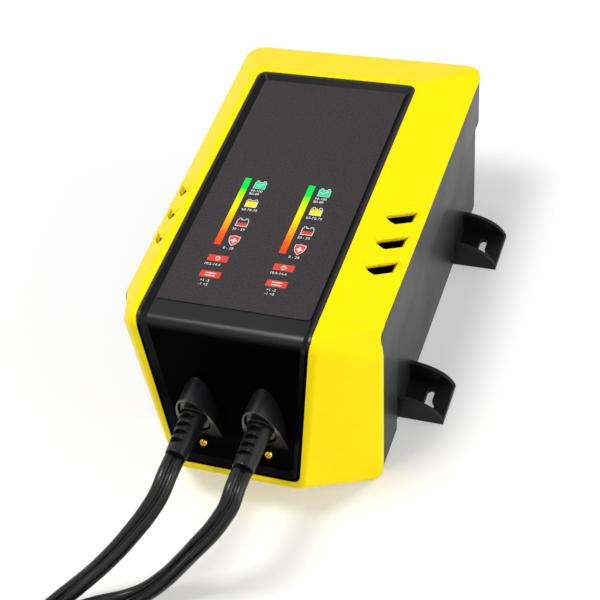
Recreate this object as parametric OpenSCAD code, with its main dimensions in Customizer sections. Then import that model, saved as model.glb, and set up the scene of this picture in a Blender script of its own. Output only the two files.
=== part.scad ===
// Two-output car battery charger: a wedge-fronted plastic housing with four
// keyhole lugs, a dark tray on its face and two twin output leads.
// Frame: X to the right, Y up the face (away from the leads), Z out of the wall
// that the housing is mounted on. The origin is at the middle of the footprint.

/* [Housing] */
// Width at the parting line
body_w = 150; // [146:1:162]
// Length of the housing, without leads
body_l = 266; // [262:1:278]
// Height of the face above the mounting plane
body_h = 124; // [122:1:130]
// Height of the parting line along the sides
part_h = 101; // [98:1:102]
// Thickness of the housing walls
wall = 2.5; // [2:0.1:3]
// Slope of the side walls towards the mounting plane, degrees
taper = 4.6; // [3.6:0.2:5]
// Corner radius at the parting line
corner_r = 10; // [8:1:12]
// Gap between cover and shell
joint_gap = 0.3; // [0.2:0.05:0.4]

/* [Front] */
// Lean of the front face from the vertical, degrees
front_lean = 15; // [13:0.5:16]
// Height of the lower end of the front face
front_foot = 26; // [24:1:30]
// Distance from the front end to the parting line at the mounting plane
part_foot = 42; // [40:1:46]
// Lean of the parting line down the front, degrees
part_lean = 7.8; // [7:0.2:9]
// Width of the flat rim round the tray
rim_w = 6.5; // [5:0.5:7.5]
// Length of the long bevel at the back end
end_bevel = 38; // [36:1:42]

/* [Tray] */
// Width of the tray opening along the top
tray_w = 98; // [94:1:100]
// Width of the tray opening at its lower end
tray_foot_w = 72; // [68:1:76]
// Depth of the tray floor below the rim
tray_depth = 2.5; // [2:0.1:3]
// Width of the flush edge round the tray's recess
edge_w = 1.6; // [1.2:0.2:2]
// Width of the sloped border of the tray
slope_w = 3.2; // [2.6:0.2:3.6]
// Thickness of the tray floor
tray_floor = 2.5; // [2.2:0.1:3]
// Thickness of the printed overlay
label_t = 0.5; // [0.3:0.1:0.8]
// Width of a light bar
bar_w = 3.8; // [3:0.2:5]
// Length of a light bar
bar_l = 51; // [44:1:54]
// Distance between the two columns of lights
column_pitch = 38; // [34:1:42]

/* [Hoods] */
// Distance between the two lead outlets
outlet_pitch = 38.4; // [38:0.4:40]
// Height of the outlets above the mounting plane
outlet_z = 71; // [69:1:73]
// Half width of a hood's oval mouth
mouth_r = 8.4; // [8:0.1:8.8]
// Half height of a hood's oval mouth
mouth_h = 15.6; // [14.8:0.2:16]
// Wall beside the mouth
hood_wall = 3.2; // [2.8:0.1:3.6]

/* [Lugs] */
// Reach of a lug beyond the side wall at the mounting plane
lug_reach = 27; // [25:1:32]
// Length of a lug along the housing
lug_l = 28; // [26:1:32]
// Height of a lug's gussets
lug_h = 18.5; // [14:0.5:22]
// Thickness of the lug's base plate
lug_t = 3; // [2.5:0.1:4]
// Middle of the front pair of lugs
lug_front_y = -41.5; // [-43:0.5:-38]
// Middle of the back pair of lugs
lug_back_y = 79; // [74:0.5:82]
// Radius of the keyhole's slot
slot_r = 2.3; // [2:0.1:2.6]
// Radius of the keyhole's round entry
entry_r = 4.4; // [4:0.1:4.8]
// Travel from entry to seat in the keyhole
key_travel = 10; // [9:0.5:12]

/* [Vents] */
// Reach of a vent down the slope
vent_l = 16.8; // [14:0.2:18]
// Width of a vent along the housing
vent_w = 6.8; // [5.4:0.2:7.6]
// Slant of the vents from the slope's own direction, degrees
vent_slant = 44.5; // [38:0.5:48]
// Distance between vents
vent_pitch = 18.5; // [17.5:0.5:20]

/* [Leads] */
// Width of the twin lead
lead_w = 11; // [10:0.5:11.5]
// Thickness of the twin lead
lead_t = 6.2; // [5.6:0.2:6.4]
// Turns of each lead in the coil
coil_turns = 3.25; // [2.25:1:3.25]
// Radius of the coil's outermost turn
coil_r = 72; // [71:0.5:73]

/* [Electronics] */
// Width of the main board
board_w = 88; // [84:1:90]
// Length of the main board
board_l = 168; // [164:1:172]
// Thickness of the boards
board_t = 1.6; // [1.2:0.2:2]
// Height of the stand-offs under the main board
standoff_h = 7; // [6:0.5:9]

/* [Hidden] */
$fn = 48;

half_w = body_w / 2;
back_y = body_l / 2;
front_y = -body_l / 2;
knee_y = front_y + (body_h - front_foot) * tan(front_lean);
part_foot_y = front_y + part_foot;
part_knee_y = part_foot_y + part_h * tan(part_lean);
draft = tan(taper);
base_half_w = half_w - draft * part_h;
base_back_y = back_y - draft * part_h;
tray_back_y = back_y - end_bevel - rim_w;
rim_half_w = tray_w / 2 + rim_w;
rim_foot_half_w = tray_foot_w / 2 + rim_w * 0.8;
face_len = (body_h - front_foot) / cos(front_lean);
tray_foot_d = face_len - rim_w;
floor_t = 3;
clear = 0.3;
edge_r = 4;
knee_r = 10;
knee_turn = 90 - front_lean;
knee_steps = 5;
part_round = 10;
wide_cut = 11;
foot_cut = 4.5;
band_w = 31;
band_step = 2.2;
step_z = part_h - band_w;

// ---- small helpers ----

function unit(v) = v / norm(v);
// The tangent at point i of a route
function heading(p, i) = unit(p[min(i + 1, len(p) - 1)] - p[max(i - 1, 0)]);
// The sideways direction across a heading, turned by roll about it
function across(t, roll) =
    let (s = unit(cross(t, [0, 0, 1])), u = cross(s, t))
    cos(roll) * s + sin(roll) * u;
// One closed ring of a tube: half widths a and b, n sides
function ring_at(c, t, w, a, b, n) =
    let (v = cross(t, w))
    [for (k = [0:n - 1]) let (q = 360 * k / n) c + a * cos(q) * w + b * sin(q) * v];
function flat_list(rings) = [for (r = rings) each r];
// The faces of a tube with m rings of n sides, closed at both ends
function tube_faces(m, n) = concat(
    [[for (k = [0:n - 1]) k]],
    [for (i = [0:m - 2], k = [0:n - 1])
        [i * n + k, (i + 1) * n + k, (i + 1) * n + (k + 1) % n]],
    [for (i = [0:m - 2], k = [0:n - 1])
        [i * n + k, (i + 1) * n + (k + 1) % n, i * n + (k + 1) % n]],
    [[for (k = [n - 1:-1:0]) (m - 1) * n + k]]
);

// A swept tube along route p, with the roll given by a list of the same length
module tube(p, roll, a, b, n) {
    rings = [for (i = [0:len(p) - 1])
        ring_at(p[i], heading(p, i), across(heading(p, i), roll[i]), a, b, n)];
    polyhedron(flat_list(rings), tube_faces(len(p), n));
}

// A plain round wire along a route
module wire(p, r) {
    tube(p, [for (q = p) 0], r, r, 8);
}

// A rectangle with round corners, centred
module round_rect(w, l, r) {
    square([w - 2 * r, l], center = true);
    square([w, l - 2 * r], center = true);
    for (x = [-1, 1], y = [-1, 1])
        translate([x * (w / 2 - r), y * (l / 2 - r)]) circle(r);
}

// Children drawn in the YZ plane as (y, z) outlines and carried across X
module across_x(w) {
    translate([-w / 2, 0, 0]) rotate([90, 0, 90]) linear_extrude(w) children();
}

// The front face as a local frame: its origin on the knee, -Y down the face, +Z out
module on_front() {
    translate([0, knee_y, body_h]) rotate([90 - front_lean, 0, 0]) children();
}

// The sloped side bevel as a local frame: +X down the slope, +Z out of it. The
// bevel runs from the rim's rounded edge to a line a little above the parting
lip_z = part_h + 2;
bevel_dx = half_w - rim_half_w + edge_r;
bevel_dz = body_h - edge_r - lip_z;
bevel_far = norm([bevel_dx, bevel_dz]);
bevel_angle = atan2(bevel_dz, bevel_dx) + asin(edge_r / bevel_far);
bevel_l = sqrt(bevel_far * bevel_far - edge_r * edge_r);
module on_bevel(side) {
    mirror([side < 0 ? 1 : 0, 0, 0])
        translate([half_w - bevel_l * cos(bevel_angle), 0, lip_z + bevel_l * sin(bevel_angle)])
            rotate([0, bevel_angle, 0]) children();
}

// The back wall as a local frame: +Z out of it, +Y up the wall
function behind_back(x, z, d) = [
    x, base_back_y + draft * z - band_step - d * cos(taper), z + d * sin(taper)
];
module on_back(z) {
    translate([0, base_back_y + draft * z - band_step, z])
        rotate([-taper, 0, 0]) rotate([90, 0, 180]) children();
}

// ---- housing ----

// The region in front of and above the parting surface, moved back by d. The surface
// is rounded at its knee
module cover_region(d = 0) {
    far = 60;
    turn = 90 - part_lean;
    r = max(part_round - d, 0);
    steps = r > 0 ? 5 : 0;
    c = [part_knee_y + d + r * tan(turn / 2), part_h - d - r];
    across_x(2 * body_w) polygon(concat(
        [[part_foot_y + d - part_lean / 40, -far], [part_foot_y + d, 0]],
        [for (k = [steps:-1:0]) let (a = turn * k / max(steps, 1)) c + r * [-sin(a), cos(a)]],
        [
            [back_y + far, part_h - d],
            [back_y + far, body_h + far],
            [front_y - far, body_h + far],
            [front_y - far, -far]
        ]
    ));
}

// The middle of the knee's rounding, and points at radius r round it, from the top
// down to the front
knee_c = [knee_y + knee_r * tan(knee_turn / 2), body_h - knee_r];
function knee_point(a, r) = knee_c + r * [-sin(a), cos(a)];
function knee_arc(r) = [for (k = [0:knee_steps]) knee_point(knee_turn * k / knee_steps, r)];
function knee_arc_back(r) = [for (k = [knee_steps:-1:0]) knee_point(knee_turn * k / knee_steps, r)];
// How far a point lies down the front face from the knee
function down_front(p) =
    max(0, (knee_y - p[0]) * sin(front_lean) + (body_h - p[1]) * cos(front_lean));

// The whole housing's outer form, drawn in by i
module body_form(i) {
    s = edge_r;
    narrowing = (rim_half_w - rim_foot_half_w) / face_len;
    wide = [part_knee_y - 4, part_h - 2];
    foot = [front_y + s * (cos(front_lean) + sin(front_lean)),
            front_foot + s * (cos(front_lean) - sin(front_lean))];
    hull() for (m = [0, 1]) mirror([m, 0, 0]) {
        translate([rim_half_w - s, tray_back_y + rim_w - s, body_h - s])
            sphere(s - i, $fn = 24);
        for (p = knee_arc(knee_r - s))
            translate([rim_half_w - s - narrowing * down_front(p), p[0], p[1]])
                sphere(s - i, $fn = 24);
        for (c = [[0, 1], [0.3, 0.3], [1, 0]] * foot_cut)
            translate([
                rim_foot_half_w - s - c[0],
                foot[0] + c[1] * sin(front_lean),
                foot[1] + c[1] * cos(front_lean)
            ]) sphere(s - i, $fn = 24);
        translate([half_w - corner_r, back_y - corner_r, part_h - 12])
            cylinder(h = lip_z - part_h + 12 - i, r = corner_r - i, $fn = 40);
        for (p = [[1, 0], unit([part_foot_y, 0] - wide)] * wide_cut)
            translate([half_w - s, wide[0] + p[0], wide[1] + p[1]]) sphere(s - i, $fn = 24);
        translate([base_half_w - s, part_foot_y, i - 2]) sphere(s - i, $fn = 24);
        translate([base_half_w - 6, part_foot_y - 4, i]) cylinder(h = 8, r = 6 - i, $fn = 32);
    }
}

// A level slice of the rear shell at height z, drawn in by i
module shell_slice(z, i) {
    w = base_half_w + draft * z - i;
    b = base_back_y + draft * z - i;
    f = part_foot_y - 14 + i;
    r = max(corner_r - i, 1);
    for (m = [0, 1]) mirror([m, 0, 0]) {
        translate([w - r, b - r, z]) cylinder(h = 0.01, r = r, $fn = 40);
        translate([w - 1, f, z]) cylinder(h = 0.01, r = 1, $fn = 8);
    }
}

// The rear shell's outer form: a proud band on top, a narrower foot below it
module shell_form() {
    intersection() {
        hull() {
            shell_slice(0, joint_gap);
            shell_slice(part_h - joint_gap, joint_gap);
        }
        union() {
            hull() {
                shell_slice(-1, band_step);
                shell_slice(part_h - 9, band_step);
            }
            hull() {
                shell_slice(step_z - 12, 2 * band_step);
                shell_slice(step_z + 12, -2 * band_step);
                shell_slice(part_h + 4, -2 * band_step);
            }
            cover_region(27);
        }
    }
}

// The hollow of the rear shell
module shell_hollow() {
    hull() {
        shell_slice(floor_t, band_step + wall);
        shell_slice(part_h + 7, band_step + wall);
    }
    hull() {
        shell_slice(step_z - 6, band_step + wall + 0.5);
        shell_slice(step_z + 2, wall);
        shell_slice(part_h + 5, wall);
    }
}

screw_x = base_half_w - 10.5;
screw_back_y = base_back_y - 14;
screw_front_y = part_foot_y + 24;
function screw_at(n) = [n % 2 == 0 ? -screw_x : screw_x, n < 2 ? screw_front_y : screw_back_y];
well_r = 5;
seat_z = 86;
post_r = 4;
screw_l = 18;

opening_r = 5;
// The tray opening in the cover, grown by g, cut through by depth d. Its upper and
// front halves meet on the plane that halves the knee
module tray_opening(g, d) {
    top_l = tray_back_y - knee_y + 2 * g;
    above = 20;
    intersection() {
        translate([0, tray_back_y + g - top_l / 2 - 5, body_h - d])
            linear_extrude(d + above) round_rect(tray_w + 2 * g, top_l + 10, opening_r + g);
        across_x(2 * body_w) polygon([
            [knee_at(d) - 0.05, body_h - d],
            [knee_at(-above) - 0.05, body_h + above],
            [body_l, body_h + above],
            [body_l, body_h - d]
        ]);
    }
    intersection() {
        on_front() translate([0, 0, -d]) linear_extrude(d + above)
            front_outline(g, tray_foot_d, opening_r);
        across_x(2 * body_w) polygon([
            [knee_at(d) + 0.05, body_h - d],
            [knee_at(-above) + 0.05, body_h + above],
            [-body_l, body_h + above],
            [-body_l, -above],
            [knee_at(d) + 0.05, -above]
        ]);
    }
}

// The tapered outline of the front face, from a little above the knee downwards,
// grown by g, with corners of radius r at its lower end
module front_outline(g, depth, r) {
    slope = (tray_w - tray_foot_w) / 2 / tray_foot_d;
    turn = atan(slope);
    side = tray_w / 2 + g / cos(turn);
    q = r + g;
    cy = q - depth - g;
    cx = side + slope * cy - q / cos(turn);
    arc = [for (k = [0:6]) let (a = -turn - (90 - turn) * k / 6) [cx + q * cos(a), cy + q * sin(a)]];
    polygon(concat(
        [[-side - slope * 6, 6], [side + slope * 6, 6]],
        arc,
        [for (k = [6:-1:0]) [-arc[k][0], arc[k][1]]]
    ));
}

// One vent opening on the bevel: a slanting slot with its tip towards the rim
module vent_outline() {
    rise = vent_l * tan(vent_slant);
    heel = vent_w / tan(vent_slant);
    polygon([
        [0, 0],
        [vent_l, rise],
        [vent_l, rise - vent_w],
        [heel, 0],
        [heel * 0.65, -vent_w * 0.1],
        [heel * 0.3, -vent_w * 0.09]
    ]);
}
vent_x = (bevel_l - vent_l) * 0.56;
vent_mid_y = -28.2;
function vent_y(n) = vent_mid_y + (n - 1) * vent_pitch;

module front_cover() {
    color([0.98, 0.9, 0.04]) {
        difference() {
            intersection() {
                difference() {
                    body_form(0);
                    body_form(wall);
                }
                translate([-body_w, -body_l, 0]) cube([2 * body_w, 2 * body_l, 2 * body_h]);
                cover_region();
            }
            tray_opening(0, 12);
            for (side = [-1, 1], n = [0:2])
                on_bevel(side) translate([vent_x, vent_y(n), -8]) linear_extrude(12) vent_outline();
        }
        for (side = [-1, 1], n = [0:2])
            on_bevel(side) translate([vent_x, vent_y(n), 0]) vent_lip();
        cover_posts();
    }
}

// The lip of a vent: a ramp that rises to the upper edge of the slot, a hair's
// breadth back from it, and sinks into the bevel at its other end
lip_rise = 1;
lip_run = 4.5;
lip_set = 0.1;
lip_root = 0.5;
module vent_lip() {
    fall = lip_rise / (lip_run - lip_set);
    far = lip_run + lip_root;
    rotate([0, 0, vent_slant]) translate([0.6, 0, 0]) rotate([90, 0, 90])
        linear_extrude(vent_l / cos(vent_slant) - 0.7)
            polygon([
                [lip_set, -lip_root],
                [lip_set, lip_rise],
                [far, -fall * lip_root],
                [far, -lip_root]
            ]);
}

// The screw posts inside the cover, each with its pilot bore
module cover_posts() {
    intersection() {
        difference() {
            for (n = [0:3]) translate([screw_at(n)[0], screw_at(n)[1], seat_z + floor_t + clear])
                cylinder(h = body_h, r = post_r);
            for (n = [0:3]) translate([screw_at(n)[0], screw_at(n)[1], 0])
                cylinder(h = seat_z + floor_t + 16, r = 1.4);
        }
        body_form(wall / 2);
    }
}

module rear_shell() {
    color([0.13, 0.13, 0.14]) difference() {
        union() {
            difference() {
                shell_form();
                shell_hollow();
            }
            for (n = [0:3]) translate([screw_at(n)[0], screw_at(n)[1], 0])
                cylinder(h = seat_z + floor_t, r = well_r);
            for (n = [0:3]) translate([board_hole(n)[0], board_hole(n)[1], 0])
                cylinder(h = floor_t + standoff_h, r = 4);
            for (side = [-1, 1], y = [lug_front_y, lug_back_y]) lug(side, y);
        }
        cover_region(joint_gap);
        for (n = [0:3]) translate([screw_at(n)[0], screw_at(n)[1], -1])
            cylinder(h = seat_z + 1, r = 3.8);
        for (n = [0:3]) translate([screw_at(n)[0], screw_at(n)[1], 0])
            cylinder(h = body_h, r = 1.8);
        for (n = [0:3]) translate([board_hole(n)[0], board_hole(n)[1], floor_t])
            cylinder(h = 20, r = 1.2);
        for (side = [-1, 1], y = [lug_front_y, lug_back_y]) keyhole(side, y);
        on_back(inlet_z) translate([0, 0, -8])
            linear_extrude(16) square([inlet_w + 2 * clear, inlet_h + 2 * clear], center = true);
    }
}

lug_root = base_half_w - band_step - 1;
lug_tip = base_half_w - band_step + lug_reach;
key_x = lug_tip - 12.2;
// One mounting lug: a base plate between two quarter-round gussets
module lug(side, y) {
    mirror([side < 0 ? 1 : 0, 0, 0]) translate([lug_root, y - lug_l / 2, 0]) {
        cube([lug_tip - lug_root, lug_l, lug_t]);
        for (k = [0, lug_l - 2.5]) translate([0, k + 2.5, 0]) rotate([90, 0, 0])
            linear_extrude(2.5) gusset();
    }
}

// The side outline of a gusset: a quarter of an ellipse
module gusset() {
    run = lug_tip - lug_root;
    polygon(concat([[0, 0]], [for (a = [0:7.5:90]) [run * cos(a), lug_h * sin(a)]]));
}

// The keyhole through a lug: round entry towards the front, slot towards the back
module keyhole(side, y) {
    translate([side * key_x, y - key_travel / 2, -1]) cylinder(h = lug_t + 2, r = entry_r);
    translate([side * key_x, y + key_travel / 2, -1]) cylinder(h = lug_t + 2, r = slot_r);
    translate([side * key_x - slot_r, y - key_travel / 2, -1])
        cube([2 * slot_r, key_travel, lug_t + 2]);
}

// The soft strip inside the shell's upper edge, just under the cover
seal_t = 1.2;
seal_h = 3;
module housing_seal() {
    color([0.25, 0.25, 0.26]) intersection() {
        difference() {
            hull() {
                shell_slice(step_z + 4, wall + 0.1);
                shell_slice(part_h + 4, wall + 0.1);
            }
            hull() {
                shell_slice(step_z + 3, wall + 0.1 + seal_t);
                shell_slice(part_h + 5, wall + 0.1 + seal_t);
            }
        }
        difference() {
            cover_region(joint_gap + seal_h);
            cover_region(joint_gap);
        }
    }
}

// A housing screw: head in the well, shaft up into the cover's post
module housing_screw(n) {
    color([0.7, 0.7, 0.72]) translate([screw_at(n)[0], screw_at(n)[1], 0]) difference() {
        union() {
            translate([0, 0, seat_z - 2.6]) cylinder(h = 2.6, r = 3.4);
            translate([0, 0, seat_z]) cylinder(h = screw_l, r = 1.4);
        }
        translate([0, 0, seat_z - 2.7]) cross_slot(2);
    }
}

// The cross recess of a screw head
module cross_slot(r) {
    translate([-r, -0.4, 0]) cube([2 * r, 0.8, 1.3]);
    translate([-0.4, -r, 0]) cube([0.8, 2 * r, 1.3]);
}

// ---- tray ----

tray_gap = 0.25;
// How far in from the cover's opening the tray's floor starts
floor_in = tray_gap + edge_w + slope_w;
// The recess of the tray, between its flush edge and its sloped border's foot
module tray_recess() {
    g = -tray_gap - edge_w;
    top_l = tray_back_y - knee_y;
    hull() {
        translate([0, (tray_back_y + knee_y) / 2 - 4, body_h + 0.01]) linear_extrude(0.1)
            round_rect(tray_w + 2 * g, top_l + 2 * g + 8, opening_r + g);
        translate([0, (tray_back_y + knee_y) / 2 - 4, body_h - tray_depth]) linear_extrude(0.1)
            round_rect(tray_w + 2 * g - 2 * slope_w, top_l + 2 * g - 2 * slope_w + 8, 2);
    }
    hull() {
        on_front() translate([0, 0, 0.01]) linear_extrude(0.1)
            front_outline(g, tray_foot_d, opening_r);
        on_front() translate([0, 0, -tray_depth]) linear_extrude(0.1)
            front_outline(g - slope_w, tray_foot_d, opening_r + 3);
    }
}

// The recess where it goes round the knee: wedges between slices of its cross section
module knee_recess() {
    for (k = [1:knee_steps]) hull() for (j = [k - 1, k]) {
        a = knee_turn * j / knee_steps;
        w = tray_w / 2 - tray_gap - edge_w
            - (tray_w - tray_foot_w) / 2 / tray_foot_d * down_front(knee_point(a, knee_r));
        translate([0, knee_c[0], knee_c[1]]) rotate([a + 90, 0, 0])
            linear_extrude(0.02, center = true) polygon([
                [slope_w - w, knee_r - tray_depth],
                [w - slope_w, knee_r - tray_depth],
                [w + slope_w, knee_r + tray_depth],
                [-w - slope_w, knee_r + tray_depth]
            ]);
    }
}

module front_panel() {
    color([0.1, 0.1, 0.11]) difference() {
        union() {
            difference() {
                intersection() {
                    tray_opening(-tray_gap, tray_depth + tray_floor);
                    panel_slab();
                }
                tray_recess();
                knee_recess();
            }
            for (s = [-1, 1]) hood(s);
            panel_flange();
            for (s = [-1, 1], y = [indicator_y0, indicator_y1])
                translate([s * indicator_x, y, indicator_z + board_t])
                    cylinder(h = body_h - tray_depth - 1 - indicator_z - board_t, r = 3);
        }
        for (s = [-1, 1]) {
            translate([s * outlet_pitch / 2, 0, 0]) along_y(front_y - 10, knee_y + 10)
                oval(mouth_r, mouth_h);
            translate([s * outlet_pitch / 2, 0, 0]) on_front()
                translate([0, -clamp_d, -20]) cylinder(h = 30, r = 1.4);
            translate([bar_x(s), bar_y, body_h - 20])
                linear_extrude(30) square([bar_w + 2 * clear, bar_l + 2 * clear], center = true);
        }
        for (s = [-1, 1], y = [indicator_y0, indicator_y1])
            translate([s * indicator_x, y, indicator_z - 1]) cylinder(h = 8, r = 1.1);
    }
}

// The slab that the tray is cut from: the rim's own profile, one thickness deep
module panel_slab() {
    d = tray_depth + tray_floor;
    across_x(body_w) polygon(concat(
        [[tray_back_y, body_h]],
        knee_arc(knee_r),
        [face_point(face_len, 0), face_point(face_len, d)],
        knee_arc_back(knee_r - d),
        [[tray_back_y, body_h - d]]
    ));
}

// The point (y, z) at distance t down the front face and d below it
function face_point(t, d) = [
    knee_y - t * sin(front_lean) + d * cos(front_lean),
    body_h - t * cos(front_lean) - d * sin(front_lean)
];
// Where a surface d below the rim has its knee
function knee_at(d) = knee_y + d * (1 - sin(front_lean)) / cos(front_lean);

// The flange of the tray behind the cover's rim
flange_t = 2;
module panel_flange() {
    g = 2.2;
    d = wall + clear;
    low = tray_foot_d + g;
    intersection() {
        difference() {
            tray_opening(g, d + 2 * flange_t);
            tray_opening(-tray_gap - 1.5, d + 30);
        }
        across_x(body_w) polygon(concat(
            [[tray_back_y + g, body_h - d]],
            knee_arc(knee_r - d),
            [face_point(low, d), face_point(low, d + flange_t)],
            knee_arc_back(knee_r - d - flange_t),
            [[tray_back_y + g, body_h - d - flange_t]]
        ));
    }
}

hood_r = mouth_r + hood_wall;
hood_foot_z = outlet_z - 20.5;
arch_z = outlet_z - 14.5;
arch_h = outlet_z + mouth_h + 2 - arch_z;
mouth_lean = 7.8;
// The y of the tray's front floor and of a hood's front, both at height z
function tray_front(z) = knee_y - (body_h - z) * tan(front_lean) + tray_depth / cos(front_lean);
function hood_front(z) = tray_front(hood_foot_z) - (z - hood_foot_z) * tan(mouth_lean);
mouth_y = hood_front(outlet_z);

// Carries an outline drawn as (x, z) from y0 to y1
module along_y(y0, y1) {
    translate([0, y1, 0]) rotate([90, 0, 0]) linear_extrude(y1 - y0) children();
}

// An upright oval with half width a and half height b
module oval(a, b) {
    translate([0, outlet_z]) polygon([for (k = [0:7.5:352.5]) [a * cos(k), b * sin(k)]]);
}

// The side outline of everything behind a plane d behind a hood's front
module behind_front(d) {
    across_x(2 * body_w) polygon([
        [hood_front(0) + d, 0],
        [hood_front(body_h) + d, body_h],
        [body_l, body_h],
        [body_l, 0]
    ]);
}

// One hood: a tall arch that stands out of the front face, cut off by its own front
module hood(s) {
    inside = tray_depth + tray_floor / 2;
    intersection() {
        translate([s * outlet_pitch / 2, 0, 0]) along_y(front_y - 10, knee_y)
            polygon(concat(
                [[hood_r, hood_foot_z]],
                [for (a = [0:7.5:180]) [hood_r * cos(a), arch_z + arch_h * sin(a)]],
                [[-hood_r, hood_foot_z]]
            ));
        behind_front(0);
        across_x(2 * body_w) polygon([
            face_point(0, inside),
            face_point(face_len, inside),
            [-body_l, 0],
            [-body_l, body_h]
        ]);
    }
}

label_gap = 0.3;
label_z = body_h - tray_depth + 0.05;
label_half_w = tray_w / 2 - floor_in - label_gap;
label_back_y = tray_back_y - floor_in - label_gap;
label_front_y = knee_y + 16.5;
function bar_x(s) = s * column_pitch / 2 - 5.6;
bar_y = -22.7;

module label_overlay() {
    color([0.22, 0.22, 0.23]) translate([0, (label_back_y + label_front_y) / 2, label_z])
        difference() {
            linear_extrude(label_t) round_rect(2 * label_half_w, label_back_y - label_front_y, 2);
            for (s = [-1, 1])
                translate([bar_x(s), bar_y - (label_back_y + label_front_y) / 2, -1])
                    linear_extrude(4) square([bar_w + 0.2, bar_l + 0.2], center = true);
        }
}

// A light bar: a clear diffuser standing in the tray's window, flush with the overlay
module light_bar(s) {
    top = label_z + label_t - 0.05;
    color([0.95, 0.75, 0.2]) {
        translate([bar_x(s) - bar_w / 2, bar_y - bar_l / 2, indicator_z + board_t + 0.1])
            cube([bar_w, bar_l, top - indicator_z - board_t - 0.1]);
    }
}

indicator_z = body_h - tray_depth - tray_floor - 7;
indicator_x = 34;
indicator_y0 = -62;
indicator_y1 = 30;
indicator_mid = (indicator_y0 + indicator_y1) / 2;
module indicator_board() {
    color([0.1, 0.35, 0.2]) difference() {
        translate([0, indicator_mid, indicator_z]) linear_extrude(board_t)
            round_rect(2 * indicator_x + 10, indicator_y1 - indicator_y0 + 12, 2);
        for (s = [-1, 1], y = [indicator_y0, indicator_y1])
            translate([s * indicator_x, y, indicator_z - 1]) cylinder(h = 8, r = 1.5);
    }
}

// The four small screws that hold the indicator board to the tray's posts
module panel_screws() {
    color([0.7, 0.7, 0.72]) for (s = [-1, 1], y = [indicator_y0, indicator_y1])
        translate([s * indicator_x, y, indicator_z - 1.8]) {
            cylinder(h = 1.8, r = 2.4);
            cylinder(h = 1.8 + board_t + 4, r = 1.1);
        }
}

// ---- lead outlets ----

relief_end_y = front_y - 20.4;
collar_y = mouth_y + 1.2;
collar_l = 24;
collar_gap = 0.5;
relief_r0 = 7.2;
relief_r1 = 5.9;
notch_pitch = 5;
// A strain relief: an oval collar in the mouth and a round tapered tail, with four
// notches on its upper side and four below
module strain_relief(s) {
    color([0.12, 0.12, 0.13]) translate([s * outlet_pitch / 2, 0, 0]) difference() {
        union() {
            intersection() {
                along_y(front_y, collar_y + collar_l)
                    oval(mouth_r - collar_gap, mouth_h - collar_gap);
                behind_front(1.2);
            }
            translate([0, relief_end_y, outlet_z]) rotate([-90, 0, 0])
                cylinder(h = collar_y - relief_end_y + 2, r1 = relief_r1, r2 = relief_r0);
        }
        for (k = [0:3], m = [0, 180])
            translate([0, relief_end_y + 5.9 + notch_pitch * k, outlet_z]) rotate([0, 70 + m, 0])
                translate([-9, 0, -6]) cube([4, 2, 12]);
    }
}

clamp_z = hood_foot_z - 3;
clamp_d = (body_h - clamp_z) / cos(front_lean);
dome_r = 2.4;
// The gilt screw below a mouth, into the bar behind the tray
module clamp_screw(s) {
    color([0.85, 0.68, 0.25]) translate([s * outlet_pitch / 2, 0, 0]) on_front()
        translate([0, -clamp_d, 0]) difference() {
            union() {
                translate([0, 0, -tray_depth + 0.05]) cylinder(h = 1, r = dome_r);
                translate([0, 0, -tray_depth + 1]) intersection() {
                    sphere(dome_r);
                    cylinder(h = 1.6, r = dome_r);
                }
                translate([0, 0, -tray_depth - 10]) cylinder(h = 10.1, r = 1.4);
            }
            translate([0, 0, -tray_depth + 1.4]) cross_slot(1.6);
        }
}

// The bar behind the tray that the gilt screw draws up under the collar
module clamp_bar(s) {
    color([0.65, 0.66, 0.68]) translate([s * outlet_pitch / 2, 0, 0]) on_front()
        translate([0, -clamp_d, -tray_depth - tray_floor - 5.05]) difference() {
            translate([-11, -5, 0]) cube([22, 10, 5]);
            translate([0, 0, -1]) cylinder(h = 8, r = 1.4);
        }
}

// ---- leads ----

exit_y = relief_end_y;
// Route of the left lead from its relief to the coil, with the roll at each point
route_left = [
    [-19.2, exit_y, 71], [-19.2, exit_y - 11, 71], [-21, -175, 66.5], [-26, -184, 60],
    [-33, -191, 52], [-42, -198, 42], [-53, -205, 31], [-64, -211, 21], [-75, -219, 13],
    [-84, -229, 8], [-90, -241, 6.6], [-93, -256, 6.6], [-94, -271, 6.6], [-94, -284, 6.6],
    [-94, -295, 6.6]
];
roll_left = [26, 26, 26, 26, 24, 20, 16, 14, 20, 40, 62, 80, 90, 90, 90];
// Route of the right lead, which climbs on to the left lead's turns
route_right = [
    [19.2, exit_y, 71], [19.2, exit_y - 11, 71], [18, -172.5, 66.5], [14, -177, 60],
    [8, -182, 52], [-1, -187.5, 42], [-10, -191.5, 31], [-20, -196.5, 20], [-31, -203, 12],
    [-42, -209, 9], [-55, -217, 11], [-67, -228, 14.5], [-77, -241, 17.6], [-84.5, -255, 18.2],
    [-89, -269, 18.2], [-90.6, -284, 18.2], [-90.6, -295, 18.2]
];
roll_right = [26, 26, 26, 26, 24, 20, 16, 14, 20, 40, 55, 68, 80, 90, 90, 90, 90];

tie_t = 0.8;
coil_z = tie_t + clear + lead_w / 2;
layer_step = lead_w + 0.6;
turn_pitch = lead_t + 0.6;
rings = 24;
// The coil's middle: both leads run on to it straight from its left side
coil_c = [route_left[14][0] + coil_r, route_left[14][1] - lead_w];
// A point after q turns of a spiral that starts at radius r and height z
function spiral_point(r, z, q) =
    let (a = 180 + 360 * q)
    [coil_c[0] + (r - turn_pitch * q) * cos(a), coil_c[1] + (r - turn_pitch * q) * sin(a), z];
function spiral(r, z, turns) = [for (i = [0:turns * rings]) spiral_point(r, z, i / rings)];

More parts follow.
